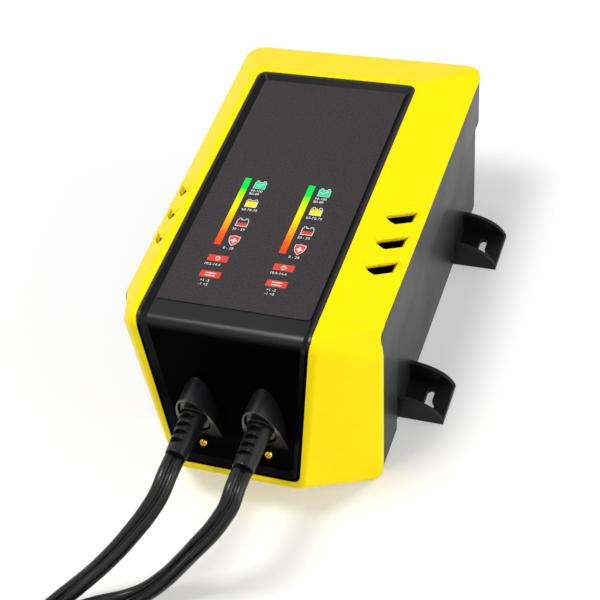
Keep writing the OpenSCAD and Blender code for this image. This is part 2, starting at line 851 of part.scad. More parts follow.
// The left lead's end curls into the middle of the coil, on the floor
curl_r = 28;
curl_turn = 88;
curl_from = 180 + 360 * coil_turns;
curl_in_r = coil_r - turn_pitch * coil_turns - curl_r;
curl_c = [coil_c[0] + curl_in_r * cos(curl_from), coil_c[1] + curl_in_r * sin(curl_from)];
function curl_point(a) =
    [curl_c[0] + curl_r * cos(curl_from + a), curl_c[1] + curl_r * sin(curl_from + a), coil_z];
curl_ahead = [-sin(curl_from + curl_turn), cos(curl_from + curl_turn), 0];
coil_left = concat(
    [spiral_point(coil_r, coil_z, 0) + [0, lead_w, 0]],
    spiral(coil_r, coil_z, coil_turns),
    [for (k = [1:8]) curl_point(curl_turn * k / 8)],
    [curl_point(curl_turn) + lead_w * curl_ahead]
);

// The right lead lies on the left one and its end climbs on to its own turns
right_r = coil_r - turn_pitch / 2;
right_z = coil_z + layer_step;
top_step = layer_step + 0.9;
climb_from = coil_turns;
function climb_point(f) =
    spiral_point(right_r, right_z, climb_from + f / 4) + [0, 0, top_step * (1 - cos(180 * f)) / 2];
climb_end = 180 + 360 * (climb_from + 0.25);
climb_ahead = [-sin(climb_end), cos(climb_end), 0];
coil_right = concat(
    [spiral_point(right_r, right_z, 0) + [0, lead_w, 0]],
    spiral(right_r, right_z, coil_turns),
    [for (k = [1:6]) climb_point(k / 6)],
    [climb_point(1) + lead_w * climb_ahead]
);

function route_length(p) =
    len(p) < 2 ? 0 : [for (i = 0, s = 0; i < len(p); s = s + (i < len(p) - 1 ? norm(p[i + 1] - p[i]) : 0), i = i + 1) s][len(p) - 1];
// Least centre distance of points on different turns, less the lead's own size
function self_gap(p) = min([
    for (i = [0:len(p) - 1]) for (j = [i + 14:len(p) - 1])
        let (d = p[j] - p[i], side = norm([d[0], d[1]]), up = abs(d[2]))
        max(side - lead_t, up - lead_w)
]);
echo(left_lead_length = route_length(route_left) + route_length(coil_left));
echo(right_lead_length = route_length(route_right) + route_length(coil_right));
echo(coil_gap_left = self_gap(coil_left), coil_gap_right = self_gap(coil_right));

// The free stretch of a lead
module output_lead(p, roll) {
    color([0.16, 0.16, 0.17]) tube(p, roll, lead_w / 2, lead_t / 2, 12);
}

// A coil of lead standing on its edge
module lead_coil(p) {
    last = len(p) - 1;
    r = [for (i = [0:last])
        let (d = i == last ? p[last] - p[last - 1] : heading(p, i), t = unit([d[0], d[1], 0]))
        ring_at(p[i], t, [0, 0, 1], lead_w / 2, lead_t / 2, 6)];
    color([0.16, 0.16, 0.17]) polyhedron(flat_list(r), tube_faces(len(p), 6));
}

tie_w = 8;
tie_in = right_r - turn_pitch * coil_turns - lead_t / 2 - 1;
tie_out = coil_r + lead_t / 2 + 1;
// A strap round both leads' turns, at the angle a round the coil
module coil_tie(a) {
    top = right_z + lead_w / 2 + clear;
    color([0.2, 0.2, 0.21]) translate([coil_c[0], coil_c[1], 0]) rotate([0, 0, a])
        translate([tie_in - tie_t, -tie_w / 2, 0]) difference() {
            cube([tie_out - tie_in + 2 * tie_t, tie_w, top + tie_t]);
            translate([tie_t, -1, tie_t]) cube([tie_out - tie_in, tie_w + 2, top - tie_t]);
        }
}

plug_l = 34;
plug_w = 9;
plug_h = 13;
pole_r = 2;
// Places children at a coil's end, +X ahead of the lead
module at_end(p) {
    last = len(p) - 1;
    d = p[last] - p[last - 1];
    translate(p[last]) rotate([0, 0, atan2(d[1], d[0])]) children();
}

// A two-way quick connector: grip, body, bare pin above and shrouded socket below
module connector(p) {
    color([0.13, 0.13, 0.14]) at_end(p) difference() {
        union() {
            translate([0, -plug_w / 2 + 0.5, -plug_h / 2 + 0.6])
                cube([10, plug_w - 1, plug_h - 1.2]);
            translate([9, -plug_w / 2, -plug_h / 2]) cube([plug_l - 19, plug_w, plug_h]);
            translate([plug_l - 11, -plug_w / 2, -plug_h / 2]) cube([11, plug_w, plug_h / 2]);
        }
        translate([plug_l - 10, 0, -plug_h / 4]) rotate([0, 90, 0]) cylinder(h = 11, r = pole_r);
        translate([plug_l - 13, 0, plug_h / 4]) rotate([0, 90, 0]) cylinder(h = 14, r = pole_r);
    }
}

// The connector's bare contact pin
module contact(p) {
    color([0.8, 0.68, 0.35]) at_end(p)
        translate([plug_l - 13, 0, plug_h / 4]) rotate([0, 90, 0]) cylinder(h = 12, r = pole_r);
}

// ---- mains inlet ----

inlet_z = 44;
inlet_w = 22;
inlet_h = 15;
pin_pitch = 8.6;
// The two-pole inlet in the back wall
module mains_inlet() {
    color([0.09, 0.09, 0.1]) on_back(inlet_z) difference() {
        union() {
            translate([0, 0, 0.1]) linear_extrude(2) round_rect(inlet_w + 7, inlet_h + 6, 3);
            translate([0, 0, -18]) linear_extrude(18.2)
                square([inlet_w, inlet_h], center = true);
        }
        for (x = [-1, 1]) translate([x * pin_pitch / 2, 0, -12]) cylinder(h = 20, r = 4.5);
        translate([-pin_pitch / 2, -2.6, -12]) cube([pin_pitch, 5.2, 20]);
        for (x = [-1, 1]) translate([x * pin_pitch / 2, 0, -20]) cylinder(h = 20, r = 1.2);
    }
}

module inlet_pin(x) {
    color([0.75, 0.76, 0.78]) on_back(inlet_z) translate([x * pin_pitch / 2, 0, -pin_in])
        cylinder(h = pin_l, r = 1.2);
}

// ---- electronics ----

board_y = (base_back_y + part_foot_y) / 2 + 2;
board_z = floor_t + standoff_h;
board_top = board_z + board_t;
function board_hole(n) = [
    (n % 2 == 0 ? -1 : 1) * (board_w / 2 - 6),
    board_y + (n < 2 ? -1 : 1) * (board_l / 2 - 6)
];

module main_board() {
    color([0.1, 0.35, 0.2]) difference() {
        translate([0, board_y, board_z]) linear_extrude(board_t) round_rect(board_w, board_l, 3);
        for (n = [0:3]) translate([board_hole(n)[0], board_hole(n)[1], 0])
            cylinder(h = 40, r = 1.6);
    }
}

module board_screw(n) {
    color([0.7, 0.7, 0.72]) translate([board_hole(n)[0], board_hole(n)[1], board_top])
        difference() {
            union() {
                cylinder(h = 1.8, r = 2.8);
                translate([0, 0, -board_t - 5]) cylinder(h = board_t + 5.1, r = 1.2);
            }
            translate([0, 0, 0.8]) cross_slot(1.7);
        }
}

core_w = 46;
core_h = 42;
core_t = 16;
core_leg = 13;
core_yoke = 7;
core_shift = 4;
core_y = board_y + core_shift;
// The transformer's ferrite frame, with a window each side of the middle leg
module transformer_core() {
    color([0.22, 0.22, 0.24]) translate([0, core_y, board_top + core_h / 2]) difference() {
        cube([core_w, core_t, core_h], center = true);
        for (x = [-1, 1]) translate([x * core_w / 4, 0, 0])
            cube([core_w / 2 - core_leg, core_t + 2, core_h - 2 * core_yoke], center = true);
    }
}

winding_over = 9;
winding_gap = 0.5;
winding_h = core_h - 2 * core_yoke - 2 * winding_gap;
// The winding on the transformer's middle leg
module transformer_winding() {
    color([0.75, 0.45, 0.15]) translate([0, core_y, board_top + core_h / 2])
        difference() {
            translate([0, 0, -winding_h / 2]) linear_extrude(winding_h)
                round_rect(core_w - core_leg - 2 * winding_gap, core_t + 2 * winding_over, 5);
            cube([core_leg + 2 * clear, core_t + 2 * clear, core_h], center = true);
        }
}

choke_x = -12;
choke_back = 46;
choke_r = 7;
choke_w = 5;
choke_h = 9;
module at_choke() {
    translate([choke_x, board_y + choke_back, board_top + 0.1]) children();
}

module choke_core() {
    color([0.2, 0.35, 0.3]) at_choke()
        rotate_extrude() translate([choke_r, 0]) square([choke_w, choke_h]);
}

sleeve_t = 1.8;
sleeve_gap = 0.1;
// The choke's two windings, as sleeves over the ring
module choke_winding() {
    color([0.75, 0.45, 0.15]) at_choke()
        for (m = [0, 180]) rotate([0, 0, m]) difference() {
            translate([0, 0, -0.05]) rotate([0, 0, -40]) rotate_extrude(angle = 80)
                translate([choke_r - sleeve_t, 0])
                    square([choke_w + 2 * sleeve_t, choke_h + sleeve_t]);
            translate([0, 0, -0.1]) rotate([0, 0, -45]) rotate_extrude(angle = 90)
                translate([choke_r - sleeve_gap, 0])
                    square([choke_w + 2 * sleeve_gap, choke_h + 1 + sleeve_gap]);
        }
}

bulk_r = 11;
bulk_h = 40;
bulk_y = board_y - 34;
bulk_x = [-16, 12];
filter_r = 6.5;
filter_h = 25;
filter_x = 10;
filter_y = board_y - 56;
module capacitor(x, y, r, h) {
    color([0.15, 0.2, 0.4]) translate([x, y, board_top + 0.1]) difference() {
        cylinder(h = h, r = r);
        translate([0, 0, h - 0.6]) cross_slot(r * 0.6);
    }
}

sink_l = 110;
sink_h = 62;
sink_t = 3;
fin_l = 8;
fin_t = 1.6;
fin_edge = 2;
fins = 8;
sink_x = board_w / 2 - sink_t - fin_l - fin_edge;
sink_shift = 8;
sink_y = board_y + sink_shift;
// A finned heatsink standing on the board, flat side inwards
module heatsink(s) {
    color([0.75, 0.76, 0.78]) mirror([s < 0 ? 1 : 0, 0, 0])
        translate([sink_x, sink_y - sink_l / 2, board_top + 0.1]) {
            cube([sink_t, sink_l, sink_h]);
            for (k = [0:fins - 1])
                translate([sink_t - 0.5, 0, fin_edge + k * (sink_h - 3 * fin_edge) / (fins - 1)])
                    cube([fin_l + 0.5, sink_l, fin_t]);
        }
}

device_t = 4.5;
device_w = 10;
device_h = 16;
device_z = 9;
leg_t = 0.8;
// A power transistor or rectifier clamped to a heatsink
module power_device(s, y) {
    color([0.12, 0.12, 0.13]) mirror([s < 0 ? 1 : 0, 0, 0])
        translate([sink_x - device_t - 0.1, y - device_w / 2, board_top]) {
            translate([0, 0, device_z]) cube([device_t, device_w, device_h]);
            for (k = [-1:1]) translate([2, device_w / 2 - leg_t / 2 + 3 * k, 0])
                cube([leg_t, leg_t, device_z + 0.5]);
        }
}

module mains_fuse() {
    color([0.85, 0.86, 0.88]) translate([19, board_y + 59, board_top + 3.6]) {
        rotate([0, 90, 0]) cylinder(h = 20, r = 2.6, center = true);
        for (x = [-9, 7]) translate([x, -2.2, -3.5]) cube([2, 4.4, 4]);
    }
}

terminal_y = board_y - board_l / 2 + 15;
terminal_w = 18;
terminal_l = 12;
terminal_h = 13;
entry_x = 4.4;
entry_z = 5;
core_r = 2.2;
module terminal(s) {
    color([0.15, 0.4, 0.25]) translate([s * outlet_pitch / 2, terminal_y, board_top + 0.1])
        difference() {
            translate([-terminal_w / 2, -terminal_l / 2, 0])
                cube([terminal_w, terminal_l, terminal_h]);
            for (x = [-1, 1]) translate([x * entry_x, -terminal_l / 2 - 1, entry_z])
                rotate([-90, 0, 0]) cylinder(h = terminal_l / 2 + 2, r = core_r + 0.4);
            for (x = [-1, 1]) translate([x * entry_x, 0, terminal_h - 4]) cylinder(h = 6, r = 2.4);
        }
}

mains_y = board_y + board_l / 2 - 17;
mains_pitch = 8.8;
mains_r = 1.5;
module mains_terminal() {
    color([0.15, 0.4, 0.25]) translate([0, mains_y, board_top + 0.1]) difference() {
        translate([-9, -5, 0]) cube([18, 10, 12]);
        for (x = [-1, 1]) translate([x * mains_pitch / 2, 0, 5])
            cylinder(h = 8, r = mains_r + 0.5);
    }
}

inner_y = collar_y + collar_l;
// One conductor from a strain relief down to its terminal, on side k of the pair
module inner_core(x, k) {
    y1 = terminal_y - terminal_l / 2 + 0.6;
    z1 = board_top + 0.1 + entry_z;
    x1 = x + entry_x * k;
    wire([
        [x1, y1 + 5, z1], [x1, y1 - 2.5, z1], [x1, y1 - 5, z1 + 2],
        [x + 4 * k, y1 - 6, z1 + 12], [x + 3.2 * k, inner_y + 14, z1 + 30],
        [x + 2.8 * k, inner_y + 10, outlet_z - 6], [x + 2.7 * k, inner_y + 5, outlet_z],
        [x + 2.7 * k, inner_y, outlet_z]
    ], core_r);
}
module inner_lead(s) {
    color([0.7, 0.15, 0.12]) inner_core(s * outlet_pitch / 2, 1);
    color([0.12, 0.12, 0.13]) inner_core(s * outlet_pitch / 2, -1);
}

pin_l = 21;
pin_in = 23;
// A mains wire from an inlet pin, down into the top of its terminal
module mains_wire(s) {
    x = s * pin_pitch / 2;
    foot = board_top + 5.2;
    color([0.5, 0.3, 0.15]) wire([
        behind_back(x, inlet_z, pin_in), behind_back(x, inlet_z, pin_in + 4),
        [s * mains_pitch / 2, mains_y + 2.5, inlet_z - 7],
        [s * mains_pitch / 2, mains_y + 0.5, inlet_z - 13],
        [s * mains_pitch / 2, mains_y + 0.2, foot + 4],
        [s * mains_pitch / 2, mains_y, foot]
    ], mains_r);
}

ribbon_y = core_y - core_t / 2 - 14.5;
// The flat cable between the two boards
module ribbon_cable() {
    color([0.55, 0.56, 0.58]) translate([-10, 0, 0]) {
        translate([0, ribbon_y, board_top]) cube([14, 1, indicator_z - board_top - 0.05]);
        translate([-1, ribbon_y - 2, board_top + 0.05]) cube([16, 5, 5]);
        translate([-1, ribbon_y - 2, indicator_z - 5]) cube([16, 5, 4.9]);
    }
}

front_cover();
front_panel();
label_overlay();
light_bar(-1);  // light_bar_left
light_bar(1);  // light_bar_right
rear_shell();
housing_seal();
housing_screw(0);  // housing_screw_1
housing_screw(1);  // housing_screw_2
housing_screw(2);  // housing_screw_3
housing_screw(3);  // housing_screw_4
strain_relief(-1);  // strain_relief_left
strain_relief(1);  // strain_relief_right
clamp_screw(-1);  // clamp_screw_left
clamp_screw(1);  // clamp_screw_right
clamp_bar(-1);  // clamp_bar_left
clamp_bar(1);  // clamp_bar_right
output_lead(route_left, roll_left);  // output_lead_left
output_lead(route_right, roll_right);  // output_lead_right
lead_coil(coil_left);  // lead_coil_left
lead_coil(coil_right);  // lead_coil_right
coil_tie(90);  // coil_tie_1
coil_tie(225);  // coil_tie_2
connector(coil_left);  // connector_left
connector(coil_right);  // connector_right
contact(coil_left);  // contact_left
contact(coil_right);  // contact_right
mains_inlet();
inlet_pin(1);  // inlet_pin_1
inlet_pin(-1);  // inlet_pin_2
main_board();
board_screw(0);  // board_screw_1
board_screw(1);  // board_screw_2
board_screw(2);  // board_screw_3
board_screw(3);  // board_screw_4
transformer_core();
transformer_winding();
choke_core();
choke_winding();
capacitor(bulk_x[0], bulk_y, bulk_r, bulk_h);  // bulk_capacitor_1
capacitor(bulk_x[1], bulk_y, bulk_r, bulk_h);  // bulk_capacitor_2
capacitor(-filter_x, filter_y, filter_r, filter_h);  // output_capacitor_left
capacitor(filter_x, filter_y, filter_r, filter_h);  // output_capacitor_right
heatsink(-1);  // heatsink_left
heatsink(1);  // heatsink_right
power_device(-1, sink_y - 30);  // power_device_1
power_device(-1, sink_y + 30);  // power_device_2
power_device(1, sink_y - 30);  // power_device_3
power_device(1, sink_y + 30);  // power_device_4
mains_fuse();
terminal(-1);  // terminal_left
terminal(1);  // terminal_right
mains_terminal();
inner_lead(-1);  // inner_lead_left
inner_lead(1);  // inner_lead_right
mains_wire(-1);  // mains_wire_1
mains_wire(1);  // mains_wire_2
indicator_board();
panel_screws();
ribbon_cable();
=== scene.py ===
import math

import bmesh
import bpy
import numpy as np
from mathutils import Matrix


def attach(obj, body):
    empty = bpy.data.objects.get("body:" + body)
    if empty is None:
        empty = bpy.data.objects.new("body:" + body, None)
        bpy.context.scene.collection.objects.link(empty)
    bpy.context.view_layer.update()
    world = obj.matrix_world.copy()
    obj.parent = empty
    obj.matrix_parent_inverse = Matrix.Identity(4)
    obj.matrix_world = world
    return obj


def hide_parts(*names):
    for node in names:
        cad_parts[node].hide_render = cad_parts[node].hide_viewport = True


bl_info = {
    "name": "Two-output battery charger",
    "version": (1, 0, 0),
    "blender": (4, 5, 0),
    "location": "View3D > Sidebar > Charger",
    "description": "Dresses the charger's solids: housing, tray, lights, leads and inner parts",
    "category": "Object",
}

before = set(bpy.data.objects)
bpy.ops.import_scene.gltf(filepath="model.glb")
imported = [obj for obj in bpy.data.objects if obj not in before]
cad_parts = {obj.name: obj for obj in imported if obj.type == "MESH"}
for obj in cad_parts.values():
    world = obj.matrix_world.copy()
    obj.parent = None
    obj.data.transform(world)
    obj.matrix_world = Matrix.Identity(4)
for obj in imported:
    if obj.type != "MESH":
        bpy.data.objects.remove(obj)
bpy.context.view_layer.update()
MM = 0.001


# ---- colours and nodes


def linear(code):
    """An sRGB hex colour as linear RGBA: c/12.92 below 0.04045, else ((c+0.055)/1.055)^2.4."""
    parts = [int(code[i : i + 2], 16) / 255 for i in (1, 3, 5)]
    return [c / 12.92 if c <= 0.04045 else ((c + 0.055) / 1.055) ** 2.4 for c in parts] + [1.0]


def shaded(colour, factor):
    """The same colour with its red, green and blue times factor, at most 1."""
    return [min(1.0, c * factor) for c in colour[:3]] + [1.0]


def feed(node, sources):
    """Links each source, an output or a node's first one, to the node's input of that name."""
    for name, source in sources.items():
        node.id_data.links.new(getattr(source, "outputs", [source])[0], node.inputs[name])


def add_node(tree, kind, links=(), stops=(), **settings):
    """One node with its settings: sockets or fields by name, links that feed it, ramp stops."""
    node = tree.nodes.new("ShaderNode" + kind)
    for name, value in settings.items():
        label = name.replace("_", " ").lower()
        sockets = [s for s in node.inputs if s.name.lower() == label]
        if sockets:
            sockets[0].default_value = value
        else:
            setattr(node, name, value)
    feed(node, dict(links))
    for k, (place, colour) in enumerate(stops):
        marks = node.color_ramp.elements
        mark = marks[k] if k < 2 else marks.new(place)
        mark.position, mark.color = place, colour
    return node


def surface(name, **settings):
    """A new material: its tree and its Principled shader, with constants set on the sockets."""
    material = bpy.data.materials.new(name)
    material.use_nodes = True
    tree = material.node_tree
    shader = next(n for n in tree.nodes if n.type == "BSDF_PRINCIPLED")
    for key, value in settings.items():
        shader.inputs[key.replace("_", " ")].default_value = value
    return material, tree, shader


# A broad noise has patches of 36 mm, 28 a metre, and most of a noise lies between LOW and HIGH
BROAD_SCALE, NOISE_LOW, NOISE_HIGH = 28.0, 0.3, 0.7
# A wave's bands lie 0.1 pi m over its scale apart: 0.8 mm for threads and for turns of wire, and
# 1.26 mm for the cores of a ribbon cable
FINE_BANDS, CORE_BANDS = 390.0, 250.0
EDGE_SAMPLES = 6


def grained(name, colour, rough, grain, height, stretch=(1, 1, 1), tone=0.05, gloss=0.05,
            round_edges=0.0, **settings):
    """A surface with a fine grain of that size (mm) and height (mm): noise raises it, and a broad
    noise moves the colour by the share tone and the roughness by gloss. A real grain is too fine
    to show, so it is drawn coarser. stretch draws it out along an axis, and round_edges is the
    radius (m) to which sharp edges are shaded round."""
    material, tree, shader = surface(name, **settings)
    place = add_node(tree, "TexCoord").outputs["Object"]
    drawn = add_node(tree, "Mapping", {"Vector": place}, Scale=stretch)
    fine = add_node(tree, "TexNoise", {"Vector": drawn}, Scale=1 / (grain * MM), Detail=2.0)
    broad = add_node(tree, "TexNoise", {"Vector": place}, Scale=BROAD_SCALE, Detail=3.0)
    tint = add_node(tree, "ValToRGB", {"Fac": broad}, stops=(
        (NOISE_LOW, shaded(colour, 1 - tone)), (NOISE_HIGH, shaded(colour, 1 + tone))))
    roughness = add_node(tree, "MapRange", {"Value": broad}, From_Min=NOISE_LOW,
                         From_Max=NOISE_HIGH, To_Min=rough - gloss, To_Max=rough + gloss)
    normal = {"Height": fine}
    if round_edges:
        normal["Normal"] = add_node(tree, "Bevel", Radius=round_edges, samples=EDGE_SAMPLES)
    bump = add_node(tree, "Bump", normal, Strength=1.0, Distance=height * MM)
    feed(shader, {"Base Color": tint, "Roughness": roughness, "Normal": bump})
    return material, tree, shader


def blended(tree, shader, factor, colour):
    """Mixes a colour into the shader's base colour by the factor, which runs from 0 to 1."""
    mix = add_node(tree, "Mix", {"Factor": factor}, data_type="RGBA")
    feed(mix, {6: shader.inputs["Base Color"].links[0].from_socket})
    mix.inputs[7].default_value = colour
    feed(shader, {"Base Color": mix.outputs[2]})


def ridged(tree, shader, height, depth, low, high, top=1.0):
    """Raises the surface by height times depth (mm), and colours it from low, in the furrows, to
    high, where the height reaches top: painted shade in the furrows, a painted highlight on top."""
    tint = add_node(tree, "ValToRGB", {"Fac": height},
                    stops=((0.0, linear(low)), (top, linear(high))))
    bump = add_node(tree, "Bump", {"Height": height}, Strength=1.0, Distance=depth * MM)
    feed(shader, {"Base Color": tint, "Normal": bump})


def seen_rays(tree):
    """1 for rays that show a surface straight, in a mirror or through glass, and 0 for the rest."""
    rays = add_node(tree, "LightPath").outputs
    either = add_node(tree, "Math", {0: rays["Is Camera Ray"], 1: rays["Is Glossy Ray"]},
                      operation="MAXIMUM")
    return add_node(tree, "Math", {0: either, 1: rays["Is Transmission Ray"]}, operation="MAXIMUM")


# ---- sizes and colours


def length_property(name, default, low, high, about):
    """A length setting: its default and its limits are given in mm and held in metres."""
    return bpy.props.FloatProperty(name=name, description=about, default=default * MM, min=low * MM,
                                   max=high * MM, precision=5, unit="LENGTH")


class CHARGER_PG_sizes(bpy.types.PropertyGroup):
    """Sizes of what dresses the solids"""

    edge_round: length_property("Edge rounding", 0.5, 0.0, 1.0,
                                "Radius of the rounding on moulded edges")
    print_height: length_property("Ink height", 0.05, 0.01, 0.2,
                                  "How far the printed marks stand off the film")
    digit_height: length_property("Digit height", 1.7, 1.0, 3.0, "Height of the printed numbers")
    notch_depth: length_property("Notch depth", 2.9, 0.5, 3.2,
                                 "Depth of the notches in the strain reliefs")
    web_dip: length_property("Web dip", 1.5, 0.0, 2.0,
                             "Depth of the groove between the two cores of a lead")
    # The light bars' emission is a painted glow, as though their lamps were lit
    painted_glow: bpy.props.FloatProperty(
        name="Light bars' glow", description="Strength of the light that the bars give off",
        default=0.25, min=0.0, max=3.0, subtype="FACTOR")


def colour_property(name, code, about):
    """A colour setting whose default is that sRGB hex colour, held as linear RGBA."""
    return bpy.props.FloatVectorProperty(name=name, description=about, size=4, min=0.0, max=1.0,
                                         subtype="COLOR", default=linear(code))


class CHARGER_PG_colours(bpy.types.PropertyGroup):
    """Colours of the outer pieces"""

    cover: colour_property("Cover", "#FFE40A", "The front cover's plastic")
    shell: colour_property("Shell", "#171618", "The rear shell's plastic")
    tray: colour_property("Tray", "#151517", "The tray's plastic")
    film: colour_property("Film", "#252223", "The printed film's ground")
    ink: colour_property("White ink", "#D9D8D8", "Numbers and outlines on the film")
    fault: colour_property("Fault red", "#E4463A", "Fault windows and the shield")
    charged: colour_property("Charged green", "#1CDC9C", "The full battery's sign")
    filling: colour_property("Filling yellow", "#F4EC12", "The second battery's sign")
    sheath: colour_property("Lead sheath", "#131315", "The output leads")
    relief: colour_property("Strain relief", "#101012", "The strain reliefs")
    gilt: colour_property("Gilt", "#F6CB3E", "The clamp screws")


def settings(context):
    """The scene's sizes and colours."""
    return context.scene.charger_sizes, context.scene.charger_colours


# ---- meshes


MERGE_DISTANCE = 0.004 * MM


def rise(value, start, run):
    """0 up to start, 1 from start + run on, straight between; it falls where run is negative."""
    return np.clip((value - start) / run, 0, 1)


def eased(share):
    """A share from 0 to 1 that starts and ends level: 3 s^2 - 2 s^3."""
    return share**2 * (3 - 2 * share)


def new_piece(name, part, material, smooth=True, sharp=None):
    """A piece from a part, an array of points (mm) and one of faces, riding on the one body. Edges
    that turn by more than sharp degrees stay sharp."""
    points, faces = part
    mesh = bpy.data.meshes.new(name)
    mesh.from_pydata((np.asarray(points) * MM).tolist(), [], [list(map(int, f)) for f in faces])
    mesh.validate()
    mesh.polygons.foreach_set("use_smooth", [smooth] * len(mesh.polygons))
    mesh.materials.append(material)
    if sharp:
        mesh.set_sharp_from_angle(angle=math.radians(sharp))
    obj = bpy.data.objects.new(name, mesh)
    bpy.context.scene.collection.objects.link(obj)
    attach(obj, "root")
    return obj


def paint(material, *names):
    """Gives CAD nodes this material in every slot."""
    for name in names:
        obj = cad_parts[name]
        obj.data.materials.clear()
        obj.data.materials.append(material)


def grid_faces(rows, cols, looped=False):
    """Quads between neighbouring rings of a grid: (i,j), (i+1,j), (i+1,j+1), (i,j+1). A ring closes
    on itself, and the last ring joins the first where they are looped."""
    i, j = np.meshgrid(np.arange(rows if looped else rows - 1), np.arange(cols), indexing="ij")
    m, k = (i + 1) % rows, (j + 1) % cols
    return np.stack([i * cols + j, m * cols + j, m * cols + k, i * cols + k], -1).reshape(-1, 4)


def lofted(rings):
    """Points and faces of a closed skin over rings of equal size (rows x cols x 3): the grid's
    quads, and one flat cap at each end. Rings run anticlockwise seen from the last one."""
    rows, cols = rings.shape[:2]
    quads = grid_faces(rows, cols)[:, ::-1].tolist()
    caps = [list(range(cols))[::-1], [(rows - 1) * cols + k for k in range(cols)]]
    return rings.reshape(-1, 3), quads + caps


def unit(vectors):
    """Each vector over its own length."""
    return vectors / np.linalg.norm(vectors, axis=-1, keepdims=True)


def merged(parts):
    """Several (points, faces) pairs as one: each one's faces move up by the points before it."""
    points, faces, first = [], [], 0
    for some_points, some_faces in parts:
        points.append(some_points)
        faces += [[first + int(v) for v in face] for face in some_faces]
        first += len(some_points)
    return np.vstack(points), faces


def dressed(node, name, material):
    """A copy of a CAD node as one skin: doubles merged, gentle edges smooth, and normals weighted
    by area so that flat faces stay flat. Its material rounds the sharper edges."""
    skin = bmesh.new()
    skin.from_mesh(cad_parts[node].data)
    bmesh.ops.remove_doubles(skin, verts=skin.verts, dist=MERGE_DISTANCE)
    points = np.array([v.co for v in skin.verts], float) / MM
    faces = [[v.index for v in f.verts] for f in skin.faces]
    skin.free()
    obj = new_piece(name, (points, faces), material, sharp=30)
    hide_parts(node)
    shading = obj.modifiers.new("flat_shading", "WEIGHTED_NORMAL")
    shading.keep_sharp = True
    return obj


def corner_places(mesh):
    """Normal and place (mm) of every face corner."""
    corners = len(mesh.loops)
    normals, owners = np.empty(corners * 3), np.empty(corners, int)
    points = np.empty(len(mesh.vertices) * 3)
    mesh.corner_normals.foreach_get("vector", normals)
    mesh.loops.foreach_get("vertex_index", owners)
    mesh.vertices.foreach_get("co", points)
    return normals.reshape(-1, 3), points.reshape(-1, 3)[owners] / MM


# ---- leads

# In mm: a lead's width, thickness and groove, and the steps along its section and its line
LEAD_W, LEAD_T, GROOVE_W = 11.0, 6.2, 1.1
SECTION_STEP, LINE_STEP = 0.65, 2.5
# Each lead's free stretch from its strain relief on: points, and the roll there (degrees)
EXIT_Y = -153.4
ROUTE_LEFT = np.array([
    [-19.2, EXIT_Y, 71, 26], [-19.2, EXIT_Y - 11, 71, 26], [-21, -175, 66.5, 26],
    [-26, -184, 60, 26], [-33, -191, 52, 24], [-42, -198, 42, 20], [-53, -205, 31, 16],
    [-64, -211, 21, 14], [-75, -219, 13, 20], [-84, -229, 8, 40], [-90, -241, 6.6, 62],
    [-93, -256, 6.6, 80], [-94, -271, 6.6, 90], [-94, -284, 6.6, 90], [-94, -295, 6.6, 90],
])
ROUTE_RIGHT = np.array([
    [19.2, EXIT_Y, 71, 26], [19.2, EXIT_Y - 11, 71, 26], [18, -172.5, 66.5, 26],
    [14, -177, 60, 26], [8, -182, 52, 24], [-1, -187.5, 42, 20], [-10, -191.5, 31, 16],
    [-20, -196.5, 20, 14], [-31, -203, 12, 20], [-42, -209, 9, 40], [-55, -217, 11, 55],
    [-67, -228, 14.5, 68], [-77, -241, 17.6, 80], [-84.5, -255, 18.2, 90],
    [-89, -269, 18.2, 90], [-90.6, -284, 18.2, 90], [-90.6, -295, 18.2, 90],
])
# The coil: turns, radius, pitch, its layers' heights, its centre, the upper lead's last climb, and
# the lower lead's last arc (radius, degrees, points)
COIL_TURNS, COIL_R, PITCH = 3.25, 72.0, LEAD_T + 0.6
LOW_Z, HIGH_Z = 6.6, 18.2
COIL_C = ROUTE_LEFT[-1, :2] + [COIL_R, -LEAD_W]
TOP_STEP, CLIMB_TURN = 12.5, 0.25
CURL_R, CURL_TURN, CURL_POINTS = 28.0, 88.0, 24


def smooth_route(rows, per_span=10):
    """A Catmull-Rom line through the rows: a span blends its four neighbours by cubic weights."""
    spans = len(rows) - 1
    rows = np.vstack([2 * rows[0] - rows[1], rows, 2 * rows[-1] - rows[-2]])
    t = np.arange(per_span) / per_span
    w = 0.5 * np.stack([-t + 2 * t**2 - t**3, 2 - 5 * t**2 + 3 * t**3, t + 4 * t**2 - 3 * t**3,
                        -t**2 + t**3])
    near = np.stack([rows[k : k + spans] for k in range(4)])
    line = np.einsum("kt,ksc->stc", w, near).reshape(-1, 4)
    return np.vstack([line, rows[-2]])


def level_arc(centre, radius, angles, height):
    """Points at those angles on a level circle, or on a spiral where radius changes with them."""
    x, y = centre[0] + radius * np.cos(angles), centre[1] + radius * np.sin(angles)
    return np.column_stack([x, y, np.full(len(angles), height)])


def spiral(radius, height, turns, per_turn=72):
    """A level spiral: angle runs on from 180 degrees, radius falls by one pitch a turn."""
    q = np.linspace(0, turns, int(turns * per_turn) + 1)
    return level_arc(COIL_C, radius - PITCH * q, np.pi + 2 * np.pi * q, height)


def ended(line, angle):
    """The line with a straight end, one lead's width long, at right angles to the radius at that
    angle, and with the roll of an upright lead."""
    end = line[-1] + LEAD_W * np.array([-math.sin(angle), math.cos(angle), 0])
    line = np.vstack([line, end])
    return np.column_stack([line, np.full(len(line), 90.0)])


def left_coil():
    """The lower spiral, then an arc of a smaller circle inside it, then a straight end."""
    start = np.pi + 2 * np.pi * COIL_TURNS
    inner = COIL_R - PITCH * COIL_TURNS - CURL_R
    middle = COIL_C + inner * np.array([math.cos(start), math.sin(start)])
    a = start + np.radians(np.linspace(0, CURL_TURN, CURL_POINTS + 1)[1:])
    turns = spiral(COIL_R, LOW_Z, COIL_TURNS)
    return ended(np.vstack([turns, level_arc(middle, CURL_R, a, LOW_Z)]), a[-1])


